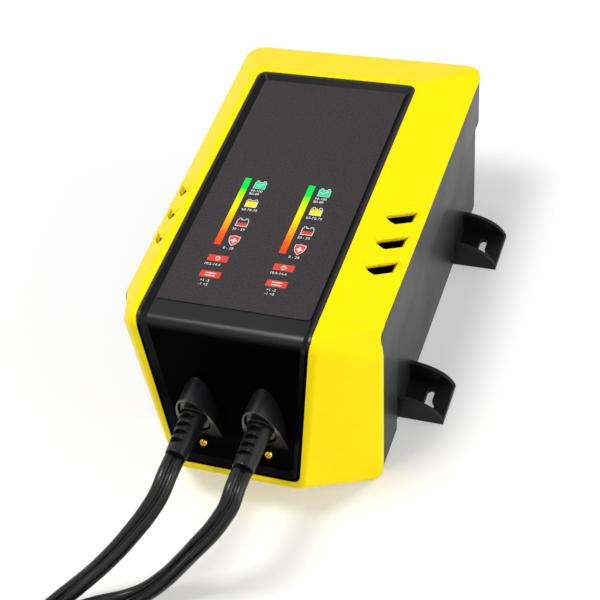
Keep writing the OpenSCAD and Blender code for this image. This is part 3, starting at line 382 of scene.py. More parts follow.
def right_coil():
    """The upper spiral, whose last part climbs by half a cosine, then a straight end."""
    turns = COIL_TURNS + CLIMB_TURN
    line = spiral(COIL_R - PITCH / 2, HIGH_Z, turns)
    climb = rise(np.linspace(0, turns, len(line)), COIL_TURNS, CLIMB_TURN)
    line[:, 2] += TOP_STEP * (1 - np.cos(np.pi * climb)) / 2
    return ended(line, np.pi + 2 * np.pi * turns)


def evenly(line, step):
    """The same line with its points a constant distance apart, and its length: each column is
    interpolated at equal steps of the summed lengths between points."""
    steps = np.linalg.norm(np.diff(line[:, :3], axis=0), axis=1)
    along = np.concatenate([[0], np.cumsum(steps)])
    marks = np.linspace(0, along[-1], int(round(along[-1] / step)) + 1)
    columns = [np.interp(marks, along, line[:, k]) for k in range(line.shape[1])]
    return np.column_stack(columns), along[-1]


def twin_section(dip):
    """Twin-lead outline: two circles' half height over the width, less a dip in the middle; its
    points are then spread evenly."""
    a = np.linspace(0, 2 * np.pi, 721)
    r = LEAD_T / 2
    x = np.cos(a) * LEAD_W / 2
    lobe = np.sqrt(np.maximum(r**2 - np.maximum(np.abs(x) - (LEAD_W / 2 - r), 0) ** 2, 0))
    half_height = lobe - dip * np.exp(-((x / GROOVE_W) ** 2))
    return evenly(np.column_stack([x, np.sign(np.sin(a)) * half_height]), SECTION_STEP)[0][:-1]


def swept(line, section):
    """Rings of the section carried along the line: centre + x * across + y * lift, where across
    is the level sideways direction turned by the roll."""
    heading = unit(np.gradient(line[:, :3], axis=0))
    side = unit(np.cross(heading, [0.0, 0.0, 1.0]))
    roll = np.radians(line[:, 3])[:, None]
    across = np.cos(roll) * side + np.sin(roll) * np.cross(side, heading)
    lift = np.cross(heading, across)
    offset = section[None, :, :1] * across[:, None] + section[None, :, 1:2] * lift[:, None]
    return line[:, None, :3] + offset


class CHARGER_OT_leads(bpy.types.Operator):
    """Makes the two twin output leads, each a free stretch and a coil in one piece"""

    bl_idname = "charger.leads"
    bl_label = "Output leads"

    def execute(self, context):
        sizes, colours = settings(context)
        # Extruded PVC: smooth, with faint draw marks, so its highlight is long and soft
        sheath = grained("pvc_lead_sheath", colours.sheath, 0.3, 1.2, 0.006, tone=0.12,
                         Specular_IOR_Level=0.3)[0]
        section = twin_section(sizes.web_dip / MM)
        for side, strap, route, coil in (("left", "strap_1", ROUTE_LEFT, left_coil()),
                                         ("right", "strap_2", ROUTE_RIGHT, right_coil())):
            line, length = evenly(np.vstack([smooth_route(route), coil]), LINE_STEP)
            obj = new_piece(f"lead_{side}", lofted(swept(line, section)), sheath)
            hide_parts(f"output_lead_{side}", f"lead_coil_{side}")
        return {"FINISHED"}


# ---- strain reliefs and clamp screws

# In mm: the outlets' places across, and their height
OUTLETS = {"left": -19.2, "right": 19.2}
OUTLET_Z = 71.0
# The collar: its face, its back, its face's lean, its half axes, its fillet and its rounded edge
COLLAR_Y, COLLAR_BACK_Y, COLLAR_LEAN = -125.46, -101.46, math.tan(math.radians(7.8))
COLLAR_A, COLLAR_B = 7.9, 15.1
FILLET_MOST, FILLET_SHARE, EDGE_SHARE = 0.9, 0.42, 0.9
# The tail: radius at its tip and at the collar, its tip's rounding, and its rows of points
TAIL_R, TIP_ROUND, TAIL_ROWS = (5.9, 7.15), 0.5, 210
# The notches: their middles, the angles that they face and half their span (degrees), half width
# and walls; then the shallow groove after each one
NOTCH_Y, NOTCH_ANGLES, NOTCH_SPAN = -146.5 + 5.0 * np.arange(4), (110, 290), 52
NOTCH_HALF, NOTCH_WALL = 1.6, 0.14
GROOVE_AFTER, GROOVE_HALF, GROOVE_WALL, GROOVE_DEPTH = 2.3, 0.35, 0.2, 0.4


def relief_rings(depth, cols=120):
    """Rings of a strain relief about its own axis. The tail's radius grows along Y, less
    lens-shaped notches; a fillet turns it into the sloping oval face of the collar, whose rounded
    edge runs back into the hood. Radius of the oval: 1 / sqrt((cos a / A)^2 + (sin a / B)^2)."""
    a = np.linspace(0, 2 * np.pi, cols, endpoint=False)
    tip_r, foot_r = TAIL_R
    oval = 1 / np.sqrt((np.cos(a) / COLLAR_A) ** 2 + (np.sin(a) / COLLAR_B) ** 2)
    fillet = np.minimum(FILLET_MOST, FILLET_SHARE * (oval - foot_r))
    edge = fillet * EDGE_SHARE

    def face_y(radius):
        return COLLAR_Y - COLLAR_LEAN * radius * np.sin(a)

    t = np.linspace(0, 1, TAIL_ROWS)[:, None]
    y = EXIT_Y + TIP_ROUND + t * (face_y(foot_r) - fillet - EXIT_Y - TIP_ROUND)
    radius = tip_r + (y - EXIT_Y) / (COLLAR_Y - EXIT_Y) * (foot_r - tip_r)
    for middle in np.radians(NOTCH_ANGLES):
        off = np.angle(np.exp(1j * (a - middle))) / np.radians(NOTCH_SPAN)
        lens = np.sqrt(np.maximum(1 - off**2, 0))
        for k in NOTCH_Y:
            cut = rise(NOTCH_HALF * lens - np.abs(y - k), 0, NOTCH_WALL)
            groove = rise(GROOVE_HALF * lens - np.abs(y - k - GROOVE_AFTER), 0, GROOVE_WALL)
            radius = radius - depth * lens * eased(cut) - GROOVE_DEPTH * lens * groove
    turn = np.linspace(0, np.pi / 2, 5)[:, None]
    ahead, aside = 1 - np.sin(turn), 1 - np.cos(turn)
    bend_r = foot_r + fillet * aside
    spread = np.linspace(0, 1, 6)[1:, None]
    flat_r = foot_r + fillet + spread * (oval - edge - foot_r - fillet)
    round_y = face_y(oval) + edge * aside
    back_y = np.linspace(0, 1, 5)[1:, None] * (COLLAR_BACK_Y - round_y[-1]) + round_y[-1]
    parts = [(tip_r - TIP_ROUND * ahead, EXIT_Y + TIP_ROUND * aside), (radius, y),
             (bend_r, face_y(bend_r) - fillet * ahead), (flat_r, face_y(flat_r)),
             (oval - edge * ahead, round_y), (oval, back_y)]
    radii, ys = (np.vstack([np.broadcast_to(part[k], (len(part[1]), cols)) for part in parts])
                 for k in (0, 1))
    return np.stack([radii * np.cos(a), ys, OUTLET_Z + radii * np.sin(a)], -1)


class CHARGER_OT_reliefs(bpy.types.Operator):
    """Makes the two notched strain reliefs and finishes the screws and bars that clamp them"""

    bl_idname = "charger.reliefs"
    bl_label = "Strain reliefs"

    def execute(self, context):
        sizes, colours = settings(context)
        # Moulded PVC: satin, with a fine skin texture
        rubber = grained("moulded_pvc_relief", colours.relief, 0.3, 0.9, 0.01, tone=0.1,
                         Specular_IOR_Level=0.24)[0]
        for side, x in OUTLETS.items():
            skin = lofted(relief_rings(sizes.notch_depth / MM) + [x, 0, 0])
            obj = new_piece(f"relief_{side}", skin, rubber, sharp=40)
            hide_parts(f"strain_relief_{side}")
        # Gilt brass, turned and polished: a warm, faintly blurred mirror
        gilt = grained("gilt_brass", colours.gilt, 0.24, 0.5, 0.003, Metallic=1.0)[0]
        # Zinc-plated steel: pale, slightly cloudy reflections
        zinc = grained("zinc_plated_steel", linear("#A9AAAE"), 0.34, 0.8, 0.01, tone=0.08,
                       Metallic=1.0)[0]
        paint(gilt, "clamp_screw_left", "clamp_screw_right")
        paint(zinc, "clamp_bar_left", "clamp_bar_right", "panel_screws",
              *(f"{place}_screw_{k}" for place in ("housing", "board") for k in range(1, 5)))
        return {"FINISHED"}


# ---- housing

# The shell's side wall: its foot's distance from the middle plane (mm), and its lean. The lugs
# stand out past it, up to LUG_TOP, and are duller
WALL_FOOT_X, WALL_LEAN, LUG_TOP = 65.2, 0.105, 19.0
WALL_GLINT, LUG_GLINT = 0.45, 0.15


class CHARGER_OT_housing(bpy.types.Operator):
    """Makes the front cover, the rear shell and the seal between them"""

    bl_idname = "charger.housing"
    bl_label = "Housing"

    def execute(self, context):
        sizes, colours = settings(context)
        # ABS moulded against a spark-eroded tool: an even satin with a very fine grain
        yellow = grained("abs_yellow_moulded", colours.cover, 0.42, 0.8, 0.015, tone=0.015,
                         gloss=0.04, round_edges=sizes.edge_round, Specular_IOR_Level=0.04)[0]
        # The same plastic in black from a coarser tool: its grey highlights spread wide
        black, tree, shader = grained(
            "abs_black_grained", colours.shell, 0.42, 1.1, 0.04, tone=0.06,
            round_edges=sizes.edge_round, Specular_IOR_Level=WALL_GLINT)
        lug = add_node(tree, "Attribute", attribute_name="lug").outputs["Fac"]
        glint = add_node(tree, "MapRange", {"Value": lug}, To_Min=WALL_GLINT, To_Max=LUG_GLINT)
        feed(shader, {"Specular IOR Level": glint})
        dressed("front_cover", "cover_skin", yellow)
        mesh = dressed("rear_shell", "shell_skin", black).data
        x, height = np.abs(corner_places(mesh)[1][:, [0, 2]]).reshape(-1, 3, 2).transpose(2, 0, 1)
        on_lug = rise((x - WALL_FOOT_X - WALL_LEAN * height).max(axis=1), 0, 1)
        on_lug = on_lug * (height.max(axis=1) < LUG_TOP)
        mesh.attributes.new("lug", "FLOAT", "FACE").data.foreach_set("value", on_lug)
        # Foamed rubber strip: matt and a little uneven
        paint(grained("foamed_rubber_seal", linear("#1A1A1A"), 0.85, 0.7, 0.1)[0], "housing_seal")
        return {"FINISHED"}


FRONT_LEAN = math.radians(15)
KNEE = np.array([0.0, -106.741, 124.0])
# The tray's specular level where its attribute is 0, on the hoods, 0.5, at large, and 1, where
# shade is painted
HOOD_GLINT, TRAY_GLINT, SHADED_GLINT = 0.6, 0.22, 0.01
# Painted shade: where the attribute is 1, the tray's colour is darkened to this share of itself
PAINTED_SHADE = 0.05
# Starts and runs for rise(): mm ahead of the leaning front's plane, cosine to its normal, height
# (mm) below the knee and at the rim, and how far a slope leans
HOOD_PROUD, FRONT_PROUD = (4.0, 1.0), (2.0, -1.0)
FRONT_FACING, BORDER_FACING = (0.86, 0.12), (0.4, 0.3)
BELOW_KNEE, SLOPE_LEAN = (KNEE[2] - 12.0, -8.0), (0.3, 0.2)
RIM_HEIGHT, RIM_FACING = (122.6, 0.8), (0.9, 0.08)
BORDER_SHARE, RIM_SHARE = 0.8, 0.15


class CHARGER_OT_tray(bpy.types.Operator):
    """Makes the dark tray with its two hoods"""

    bl_idname = "charger.tray"
    bl_label = "Tray and hoods"

    def execute(self, context):
        sizes, colours = settings(context)
        # ABS from a tool with a satin finish: black with soft highlights. On its leaning front and
        # its slopes shade is painted, a darker colour and a lower specular level; its hoods get a
        # higher one
        satin, tree, shader = grained("abs_black_satin", colours.tray, 0.32, 1.0, 0.012,
                                      round_edges=sizes.edge_round, Specular_IOR_Level=0.3)
        shade_and_glint = add_node(tree, "Attribute", attribute_name="polish").outputs["Fac"]
        glint = add_node(tree, "ValToRGB", {"Fac": shade_and_glint}, stops=[
            (place, [level] * 3 + [1.0])
            for place, level in ((0.0, HOOD_GLINT), (0.5, TRAY_GLINT), (1.0, SHADED_GLINT))])
        # Painted shade: as the attribute runs from 0.5 to 1, the colour darkens to the share above
        depth = add_node(tree, "MapRange", {"Value": shade_and_glint}, From_Min=0.5)
        blended(tree, shader, depth, shaded(colours.tray, PAINTED_SHADE))
        feed(shader, {"Specular IOR Level": glint})
        mesh = dressed("front_panel", "tray_skin", satin).data
        normals, places = corner_places(mesh)
        out = np.array([0.0, -math.cos(FRONT_LEAN), math.sin(FRONT_LEAN)])
        facing, proud, height = normals @ out, (places - KNEE) @ out, places[:, 2]
        hood = rise(proud, *HOOD_PROUD)
        front = rise(facing, *FRONT_FACING) * rise(proud, *FRONT_PROUD)
        below = rise(height, *BELOW_KNEE) * (1 - hood)
        border = BORDER_SHARE * below * rise(facing, *BORDER_FACING)
        lean = np.maximum(np.abs(normals[:, 0]), np.where(places[:, 1] > 0, -normals[:, 1], 0))
        slope = 0.5 * rise(lean, *SLOPE_LEAN) * (1 - hood)
        rim = rise(height, *RIM_HEIGHT) * rise(normals[:, 2], *RIM_FACING)
        # Shade is painted on the leaning front, the border below the knee and the slopes; the hoods
        # and the rim's top get a lower value, so more specular level and no painted shade
        shade_painted = np.maximum(np.maximum(front, border), slope)
        mesh.attributes.new("polish", "FLOAT", "CORNER").data.foreach_set(
            "value", 0.5 + 0.5 * shade_painted - 0.5 * hood - RIM_SHARE * rim)
        return {"FINISHED"}


# ---- film, marks and light bars

# In mm: the film's face, how deep the marks start, how much lower fills lie than outlines, and how
# much higher the marks on them stand
FILM_Z, INK_SINK, INK_STEP, OVER_STEP = 122.05, 0.02, 0.01, 0.04
# The film's specks are 1.1 mm, 900 a metre, and that much paler than the ground
SPECKLE_SCALE, SPECKLE_TONE = 900.0, 3.0
# A light bar's middle, length, how far its colours drift in clouds of 8 mm, 120 a metre, and its
# colours from its lower end up
BAR_Y, BAR_L, BAR_DRIFT, CLOUD_SCALE = -22.7, 51.0, 0.3, 120.0
BAR_COLOURS = (
    (0.0, "#EE441A"), (0.15, "#F2561A"), (0.40, "#F2B408"), (0.57, "#E6DA04"), (0.78, "#96E008"),
    (0.84, "#0CD83E"), (1.0, "#04D24C"),
)
# The two columns, and in each the four signs, the two red windows and the lines of numbers
COLUMN_X = (-19.0, 19.0)
SIGN_DX, SIGN_Y = 2.9, (-1.4, -15.8, -30.5, -44.2)
WINDOW_DX, WINDOW_Y, WINDOW_SIZE, WINDOW_CORNER = -1.1, (-58.1, -69.6), (11.7, 4.4), 0.35
CAPTIONS = (
    # text, left end from the column's centre, foot of the line
    ("90-100", -1.2, -7.1), ("80-89", -1.2, -9.5), ("60-70-79", -1.2, -21.7),
    ("30 - 59", -1.2, -36.5), ("0 - 29", -1.2, -50.8), ("10.5-14.4", -7.5, -63.2),
    ("+1 -2", -5.3, -74.9), ("-1 +2", -5.3, -77.6),
)
# The built-in face: a digit's height over its size, then thickness, steps, spacing and boldness
DIGIT_SHARE, DIGIT_THICK, DIGIT_STEPS, DIGIT_SPACE, DIGIT_BOLD = 0.73, 0.02, 3, 1.08, 0.03


def slab(outline, low, high):
    """A closed prism over an anticlockwise outline: its top, its bottom and its walls."""
    n = len(outline)
    flat = np.asarray(outline, float)
    points = np.vstack([np.column_stack([flat, np.full(n, height)]) for height in (low, high)])
    walls = [[k, (k + 1) % n, n + (k + 1) % n, n + k] for k in range(n)]
    return points, [list(range(n, 2 * n)), list(range(n))[::-1]] + walls


def hoop(outer, inner, low, high):
    """A closed ring between two outlines of equal length: quads from the outer top edge to the
    inner one, down, back out along the bottom, and up."""
    n = len(outer)
    flat = np.vstack([outer, inner, inner, outer])
    heights = np.repeat([high, high, low, low], n)
    points = np.column_stack([flat, heights])
    faces = [[p * n + k, p * n + (k + 1) % n, q * n + (k + 1) % n, q * n + k]
             for p, q in ((0, 1), (1, 2), (2, 3), (3, 0)) for k in range(n)]
    return points, faces


def inset(outline, width):
    """The outline moved inwards: a corner moves by width * (n1 + n2) / (1 + n1 . n2), where n1
    and n2 are the inward normals of its two edges."""
    p = np.asarray(outline, float)
    ahead, behind = unit(np.roll(p, -1, 0) - p), unit(p - np.roll(p, 1, 0))
    n1 = np.column_stack([-behind[:, 1], behind[:, 0]])
    n2 = np.column_stack([-ahead[:, 1], ahead[:, 0]])
    return p + width * (n1 + n2) / (1 + np.sum(n1 * n2, 1, keepdims=True))


def rounded_box(w, h, r, per_corner=4):
    """A rectangle with round corners, anticlockwise, centred: four corner centres plus r times
    (cos, sin) of a quarter turn each."""
    a = np.radians(np.concatenate([np.linspace(q, q + 90, per_corner) for q in (0, 90, 180, 270)]))
    cx = np.repeat([1, -1, -1, 1], per_corner) * (w / 2 - r)
    cy = np.repeat([1, 1, -1, -1], per_corner) * (h / 2 - r)
    return np.column_stack([cx + r * np.cos(a), cy + r * np.sin(a)])


BATTERY = np.array([
    [-3.5, -3.1], [3.5, -3.1], [3.5, 1.7], [2.9, 2.1], [2.6, 3.1], [1.3, 3.1], [1.0, 2.1],
    [-1.0, 2.1], [-1.3, 3.1], [-2.6, 3.1], [-2.9, 2.1], [-3.5, 1.7],
])
TICK = np.array([[-2.1, -0.4], [-0.7, -1.6], [2.3, 0.9], [1.9, 1.35], [-0.7, -0.75], [-1.7, 0.1]])
# Widths of the outlines of a battery, a full one and the shield, and how far in the fills lie
RIM_W, FULL_RIM_W, SHIELD_RIM_W, FULL_MARGIN, SHIELD_MARGIN = 0.42, 0.28, 0.38, 0.2, 0.25
# Fills of the second and the third battery: a block, and cells on it, as foot and top
BLOCK_HALF, YELLOW_BLOCK, RED_BLOCK = 3.1, (-2.7, 0.6), (-2.7, -1.2)
CELL_X, CELL_HALF, YELLOW_CELLS, RED_CELLS = (-2.0, 0.0, 2.0), 0.75, (0.6, 1.5), (-1.2, -0.3)
PLUS_ARM, PLUS_W = 1.7, 1.1
# The upper window's dial and pointer, and the lower window's two bars
DIAL_OUT, DIAL_IN, DIAL_POINTS, POINTER = 1.45, 1.0, 28, (-0.2, 0.2, -0.1, 1.0)
BAR_HALF_L, BAR_HALF_W, BAR_LIFT = 2.9, 0.33, 0.85


def shield_outline(count=14):
    """A shield: a pitched top, and two sides that meet in a point, where the half width falls as
    cos(pi/2 * t^1.6) while the height falls evenly with t."""
    t = np.linspace(0, 1, count)
    side = np.column_stack([3.2 * np.cos(np.pi / 2 * t**1.6), 2.6 - 6.6 * t])
    return np.vstack([[[0.0, 3.9], [-1.6, 3.4], [-3.2, 3.2]], (side * [-1, 1]), side[::-1][1:],
                      [[3.2, 3.2], [1.6, 3.4]]])


def cross(arm, width):
    """A plus sign's outline: four arms of that reach and width."""
    w = width / 2
    return np.array([[w, w], [w, arm], [-w, arm], [-w, w], [-arm, w], [-arm, -w], [-w, -w],
                     [-w, -arm], [w, -arm], [w, -w], [arm, -w], [arm, w]])


def box(x0, x1, y0, y1):
    """A plain rectangle's outline."""
    return np.array([[x0, y0], [x1, y0], [x1, y1], [x0, y1]])


def digits(text, height):
    """Plain numbers as flat shapes from the built-in face, set from their left end: points and
    faces."""
    curve = bpy.data.curves.new("digits", "FONT")
    curve.body, curve.size, curve.extrude = text, height / DIGIT_SHARE, DIGIT_THICK
    curve.resolution_u, curve.space_character, curve.offset = DIGIT_STEPS, DIGIT_SPACE, DIGIT_BOLD
    obj = bpy.data.objects.new("digits", curve)
    mesh = bpy.data.meshes.new_from_object(obj)
    points = np.empty(len(mesh.vertices) * 3)
    mesh.vertices.foreach_get("co", points)
    faces = [list(p.vertices) for p in mesh.polygons]
    bpy.data.objects.remove(obj)
    bpy.data.meshes.remove(mesh)
    bpy.data.curves.remove(curve)
    return points.reshape(-1, 3), faces


def sign_parts(low, high):
    """The marks of one column, by ink: (points, faces) pairs about the column's own place."""
    inks = {"white": [], "fault": [], "charged": [], "filling": []}
    under, over = high - INK_STEP, high + OVER_STEP

    def put(ink, part, y, x=SIGN_DX):
        inks[ink].append((part[0] + [x, y, 0], part[1]))

    rim = hoop(BATTERY, inset(BATTERY, RIM_W), low, high)
    full, second, third, last = SIGN_Y
    put("charged", slab(inset(BATTERY, FULL_MARGIN), low, under), full)
    put("white", hoop(BATTERY, inset(BATTERY, FULL_RIM_W), low, high), full)
    put("white", slab(TICK, low, over), full)
    put("white", rim, second)
    put("filling", slab(box(-BLOCK_HALF, BLOCK_HALF, *YELLOW_BLOCK), low, under), second)
    put("white", rim, third)
    for x in CELL_X:
        left, right = x - CELL_HALF, x + CELL_HALF
        put("filling", slab(box(left, right, *YELLOW_CELLS), low, under), second)
        put("fault", slab(box(left, right, *RED_CELLS), low, under), third)
    put("fault", slab(box(-BLOCK_HALF, BLOCK_HALF, *RED_BLOCK), low, under), third)
    shield = shield_outline()
    put("fault", slab(inset(shield, SHIELD_MARGIN), low, under), last)
    put("white", hoop(shield, inset(shield, SHIELD_RIM_W), low, high), last)
    put("white", slab(cross(PLUS_ARM, PLUS_W), low, over), last)
    for y in WINDOW_Y:
        put("fault", slab(rounded_box(*WINDOW_SIZE, WINDOW_CORNER), low, high), y, WINDOW_DX)
    a = np.linspace(0, 2 * np.pi, DIAL_POINTS, endpoint=False)
    circle = np.column_stack([np.cos(a), np.sin(a)])
    put("white", hoop(DIAL_OUT * circle, DIAL_IN * circle, low, over), WINDOW_Y[0], WINDOW_DX)
    put("white", slab(box(*POINTER), low, over), WINDOW_Y[0], WINDOW_DX)
    for lift in (-BAR_LIFT, BAR_LIFT):
        bar = box(-BAR_HALF_L, BAR_HALF_L, lift - BAR_HALF_W, lift + BAR_HALF_W)
        put("white", slab(bar, low, over), WINDOW_Y[1], WINDOW_DX)
    return inks


class CHARGER_OT_film(bpy.types.Operator):
    """Makes the printed film's ground, its marks and numbers, and the two graded light bars"""

    bl_idname = "charger.film"
    bl_label = "Film and light bars"

    def execute(self, context):
        sizes, colours = settings(context)
        # Screen-printed polyester: a dark ground with a velvet speckle, drawn 1 mm coarse to show
        film, tree, shader = grained("screen_printed_polyester", colours.film, 0.5, 1.0, 0.02,
                                     Specular_IOR_Level=0.12)
        place = add_node(tree, "TexCoord").outputs["Object"]
        speckle = add_node(tree, "TexNoise", {"Vector": place}, Scale=SPECKLE_SCALE, Detail=1.0)
        blended(tree, shader, speckle, shaded(colours.film, SPECKLE_TONE))
        paint(film, "label_overlay")
        high = FILM_Z + sizes.print_height / MM
        columns = {}
        for x in COLUMN_X:
            for ink, parts in sign_parts(FILM_Z - INK_SINK, high).items():
                columns.setdefault(ink, []).extend((p + [x, 0, 0], f) for p, f in parts)
            for text, left, foot in CAPTIONS:
                points, faces = digits(text, sizes.digit_height / MM)
                columns["white"].append((points + [x + left, foot, high], faces))
        for ink, parts in columns.items():
            # Screen ink: an opaque, slightly grainy layer
            tint = colours.ink if ink == "white" else getattr(colours, ink)
            layer = grained(f"screen_ink_{ink}", tint, 0.5, 0.6, 0.01, tone=0.04,
                            Specular_IOR_Level=0.1)[0]
            new_piece(f"marks_{ink}", merged(parts), layer, smooth=False)
        # Frosted acrylic over lamps: red at the lower end, then orange, yellow and green. Its
        # emission is a painted glow, as though the lamps were lit
        acrylic, tree, shader = surface("frosted_acrylic_bar", Roughness=0.35,
                                        Emission_Strength=sizes.painted_glow, Specular_IOR_Level=0.05)
        place = add_node(tree, "TexCoord").outputs["Object"]
        parts = add_node(tree, "SeparateXYZ", {0: place})
        cloud = add_node(tree, "TexNoise", {"Vector": place}, Scale=CLOUD_SCALE, Detail=2.0)
        drift = add_node(tree, "Math", {0: cloud}, operation="MULTIPLY_ADD")
        for k, value in ((1, 2 * BAR_DRIFT), (2, -BAR_DRIFT)):
            drift.inputs[k].default_value = value * MM
        along = add_node(tree, "Math", {0: parts.outputs[1], 1: drift}, operation="ADD")
        level = add_node(tree, "MapRange", {"Value": along},
                         From_Min=(BAR_Y - BAR_L / 2) * MM, From_Max=(BAR_Y + BAR_L / 2) * MM)
        ramp = add_node(tree, "ValToRGB", {"Fac": level},
                        stops=[(place, linear(code)) for place, code in BAR_COLOURS])
        feed(shader, {"Base Color": ramp, "Emission Color": ramp})
        paint(acrylic, "light_bar_left", "light_bar_right")
        return {"FINISHED"}


# ---- connectors and straps

# In mm: the plug's length and half axes, how much and where it grows, its ribs and its rounding
PLUG_L, PLUG_A, PLUG_B = 24.0, 3.6, 5.6
PLUG_GROWTH, PLUG_GROWS = 0.9, (8, 4)
RIB_H, RIB_PITCH, RIB_END = 0.4, 2.2, 9
PLUG_ROUND = 0.8
# Its nose, its socket and its pin, each with its foot and a ring half way along, and how far below
# and above the middle these lie
NOSE_A, NOSE_B, NOSE_FOOT, NOSE_MID, NOSE_TIP, NOSE_ROUND = 4.5, 3.25, 23.0, 28.0, 34.0, 0.7
SOCKET_R, SOCKET_LIP, SOCKET_FOOT, SOCKET_MID = 2.0, 0.3, 21.5, 27.0
PIN_R, PIN_ROUND, PIN_FOOT, PIN_MID, PIN_TIP = 2.0, 1.8, 21.0, 26.0, 33.0
POLE_OFFSET = 3.25


def squared(a_half, b_half, power, cols=40):
    """A squared-off oval: a * sign(cos) * |cos|^(2/power), and the same with b and sin."""
    a = np.linspace(0, 2 * np.pi, cols, endpoint=False)
    c, s = np.cos(a), np.sin(a)
    return np.column_stack([a_half * np.sign(c) * np.abs(c) ** (2 / power),
                            b_half * np.sign(s) * np.abs(s) ** (2 / power)])


def round_section(radius):
    """A circle's outline, a squared oval of power 2."""
    return squared(radius, radius, 2.0)


def along_plug(stations):
    """Rings from (ahead, section) pairs: ahead runs with X, and a section lies in Y and Z."""
    return np.stack([np.insert(section, 0, u, axis=1) for u, section in stations])


def rounded_end(tip, radius, count):
    """Places along an end that a quarter circle rounds, and how far its outline draws in there."""
    q = np.linspace(0, np.pi / 2, count)
    return list(zip(tip - radius * (1 - np.sin(q)), radius * (1 - np.cos(q))))


def plug_parts():
    """A two-way connector: a ribbed grip that grows into the body, and a lower nose with a socket.
    A rib's height is that of a squared sine along the grip, and the ends are quarter circles."""
    u = np.linspace(0, PLUG_L, 97)
    grow = PLUG_GROWTH * eased(rise(u, *PLUG_GROWS))
    rib = np.where(u < RIB_END, RIB_H * np.sin(np.pi * u / RIB_PITCH) ** 2, 0)
    reach = [np.clip((past + PLUG_ROUND) / PLUG_ROUND, 0, None) for past in (u - PLUG_L, -u)]
    shrink = PLUG_ROUND * sum(np.sqrt(np.clip(1 - r**2, 0, 1)) - 1 for r in reach)
    more = grow + rib + shrink
    body = along_plug([(x, squared(PLUG_A + m, PLUG_B + m, 4.0)) for x, m in zip(u, more)])
    outer = [(NOSE_FOOT, 0), (NOSE_MID, 0)] + rounded_end(NOSE_TIP, NOSE_ROUND, 5)
    nose = [(x, squared(NOSE_A - back, NOSE_B - back, 5.0)) for x, back in outer]
    bore = [(NOSE_TIP, round_section(SOCKET_R + SOCKET_LIP))]
    bore += [(x, round_section(SOCKET_R)) for x in (NOSE_TIP - SOCKET_LIP, SOCKET_MID, SOCKET_FOOT)]
    return [lofted(body), lofted(along_plug(nose + bore) - [0, 0, POLE_OFFSET])]


def pin_part():
    """A round pin: constant radius, then a quarter circle that all but closes its tip."""
    stations = [(PIN_FOOT, 0), (PIN_MID, 0)] + rounded_end(PIN_TIP, PIN_ROUND, 7)[:-1]
    rings = along_plug([(x, round_section(PIN_R - back)) for x, back in stations])
    return lofted(rings + [0, 0, POLE_OFFSET])


def placed(parts, end, ahead):
    """Parts drawn along X as one, turned level to look along ahead, and moved to end."""
    turn = np.array([[ahead[0], ahead[1], 0], [-ahead[1], ahead[0], 0], [0, 0, 1]])
    return merged([(points @ turn + end, faces) for points, faces in parts])


# In mm: a strap's width and thickness, the radii and the height that it goes round, its corners,
# and the straps' places round the coil (degrees)
TIE_W, TIE_T = 8.0, 0.8
TIE_IN, TIE_OUT, TIE_TOP, TIE_CORNER = 42.4, 76.1, 24.0, 2.6
TIE_ANGLES = {"1": 90.0, "2": 225.0}


def strap_rings(angle):
    """A closed strap round the turns: a rounded rectangle of radius and height carries a flat
    section, so a point is the path's point + along-strap offset * tangent + thickness * normal."""
    path = rounded_box(TIE_OUT - TIE_IN + TIE_T, TIE_TOP, TIE_CORNER, 8)
    path = np.vstack([np.linspace(p, q, 3)[:-1] for p, q in zip(path, np.roll(path, -1, 0))])
    ahead = unit(np.roll(path, -1, 0) - np.roll(path, 1, 0))
    out = np.column_stack([ahead[:, 1], -ahead[:, 0]])
    section = squared(TIE_T / 2, TIE_W / 2, 6.0, 16)
    flat = path[:, None] + out[:, None] * section[None, :, :1]
    across = np.broadcast_to(section[None, :, 1], flat.shape[:2])
    radius = flat[..., 0] + (TIE_IN + TIE_OUT) / 2
    c, s = math.cos(math.radians(angle)), math.sin(math.radians(angle))
    return np.stack([COIL_C[0] + radius * c - across * s, COIL_C[1] + radius * s + across * c,
                     flat[..., 1] + (TIE_TOP + TIE_T) / 2], -1)


class CHARGER_OT_connectors(bpy.types.Operator):
    """Makes the leads' two-way connectors with their pins, and the straps round the coils"""

    bl_idname = "charger.connectors"
    bl_label = "Connectors and straps"

    def execute(self, context):
        # Injection-moulded PVC over the crimps: matt black with a fine grain
        grip = grained("moulded_pvc_connector", linear("#1C1C1E"), 0.55, 0.9, 0.05, tone=0.08)[0]
        # Tin-plated brass: a pale warm metal with a slight blur
        brass = grained("tinned_brass", linear("#C9B27C"), 0.28, 0.7, 0.01, tone=0.08,
                        Metallic=1.0)[0]
        # Woven nylon hook-and-loop strap: crossing threads of 0.8 mm, so it is matt and ribbed
        weave, tree, shader = surface("woven_nylon_strap", Roughness=0.9, Sheen_Weight=0.25)
        place = add_node(tree, "TexCoord").outputs["Object"]
        rows, picks = (add_node(tree, "TexWave", {"Vector": place}, Scale=FINE_BANDS,
                                bands_direction=way).outputs["Fac"] for way in ("X", "DIAGONAL"))
        threads = add_node(tree, "Math", {0: rows, 1: picks}, operation="MULTIPLY")
        # Painted shade between the threads and a painted highlight on their tops
        ridged(tree, shader, threads, 0.15, "#121214", "#2B2B2E")
        for side, line in (("left", left_coil()), ("right", right_coil())):
            end, ahead = line[-1, :3], unit(line[-1, :3] - line[-2, :3])
            plug = new_piece(f"plug_{side}", placed(plug_parts(), end, ahead), grip,
                             sharp=35)
            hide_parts(f"connector_{side}")
            pin = new_piece(f"pin_{side}", placed([pin_part()], end, ahead), brass)
            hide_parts(f"contact_{side}")
        for name, angle in TIE_ANGLES.items():
            rings = strap_rings(angle)
            faces = grid_faces(*rings.shape[:2], looped=True)[:, ::-1]
            strap = new_piece(f"strap_{name}", (rings.reshape(-1, 3), faces), weave)
            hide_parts(f"coil_tie_{name}")
        return {"FINISHED"}


# ---- inlet and inner parts


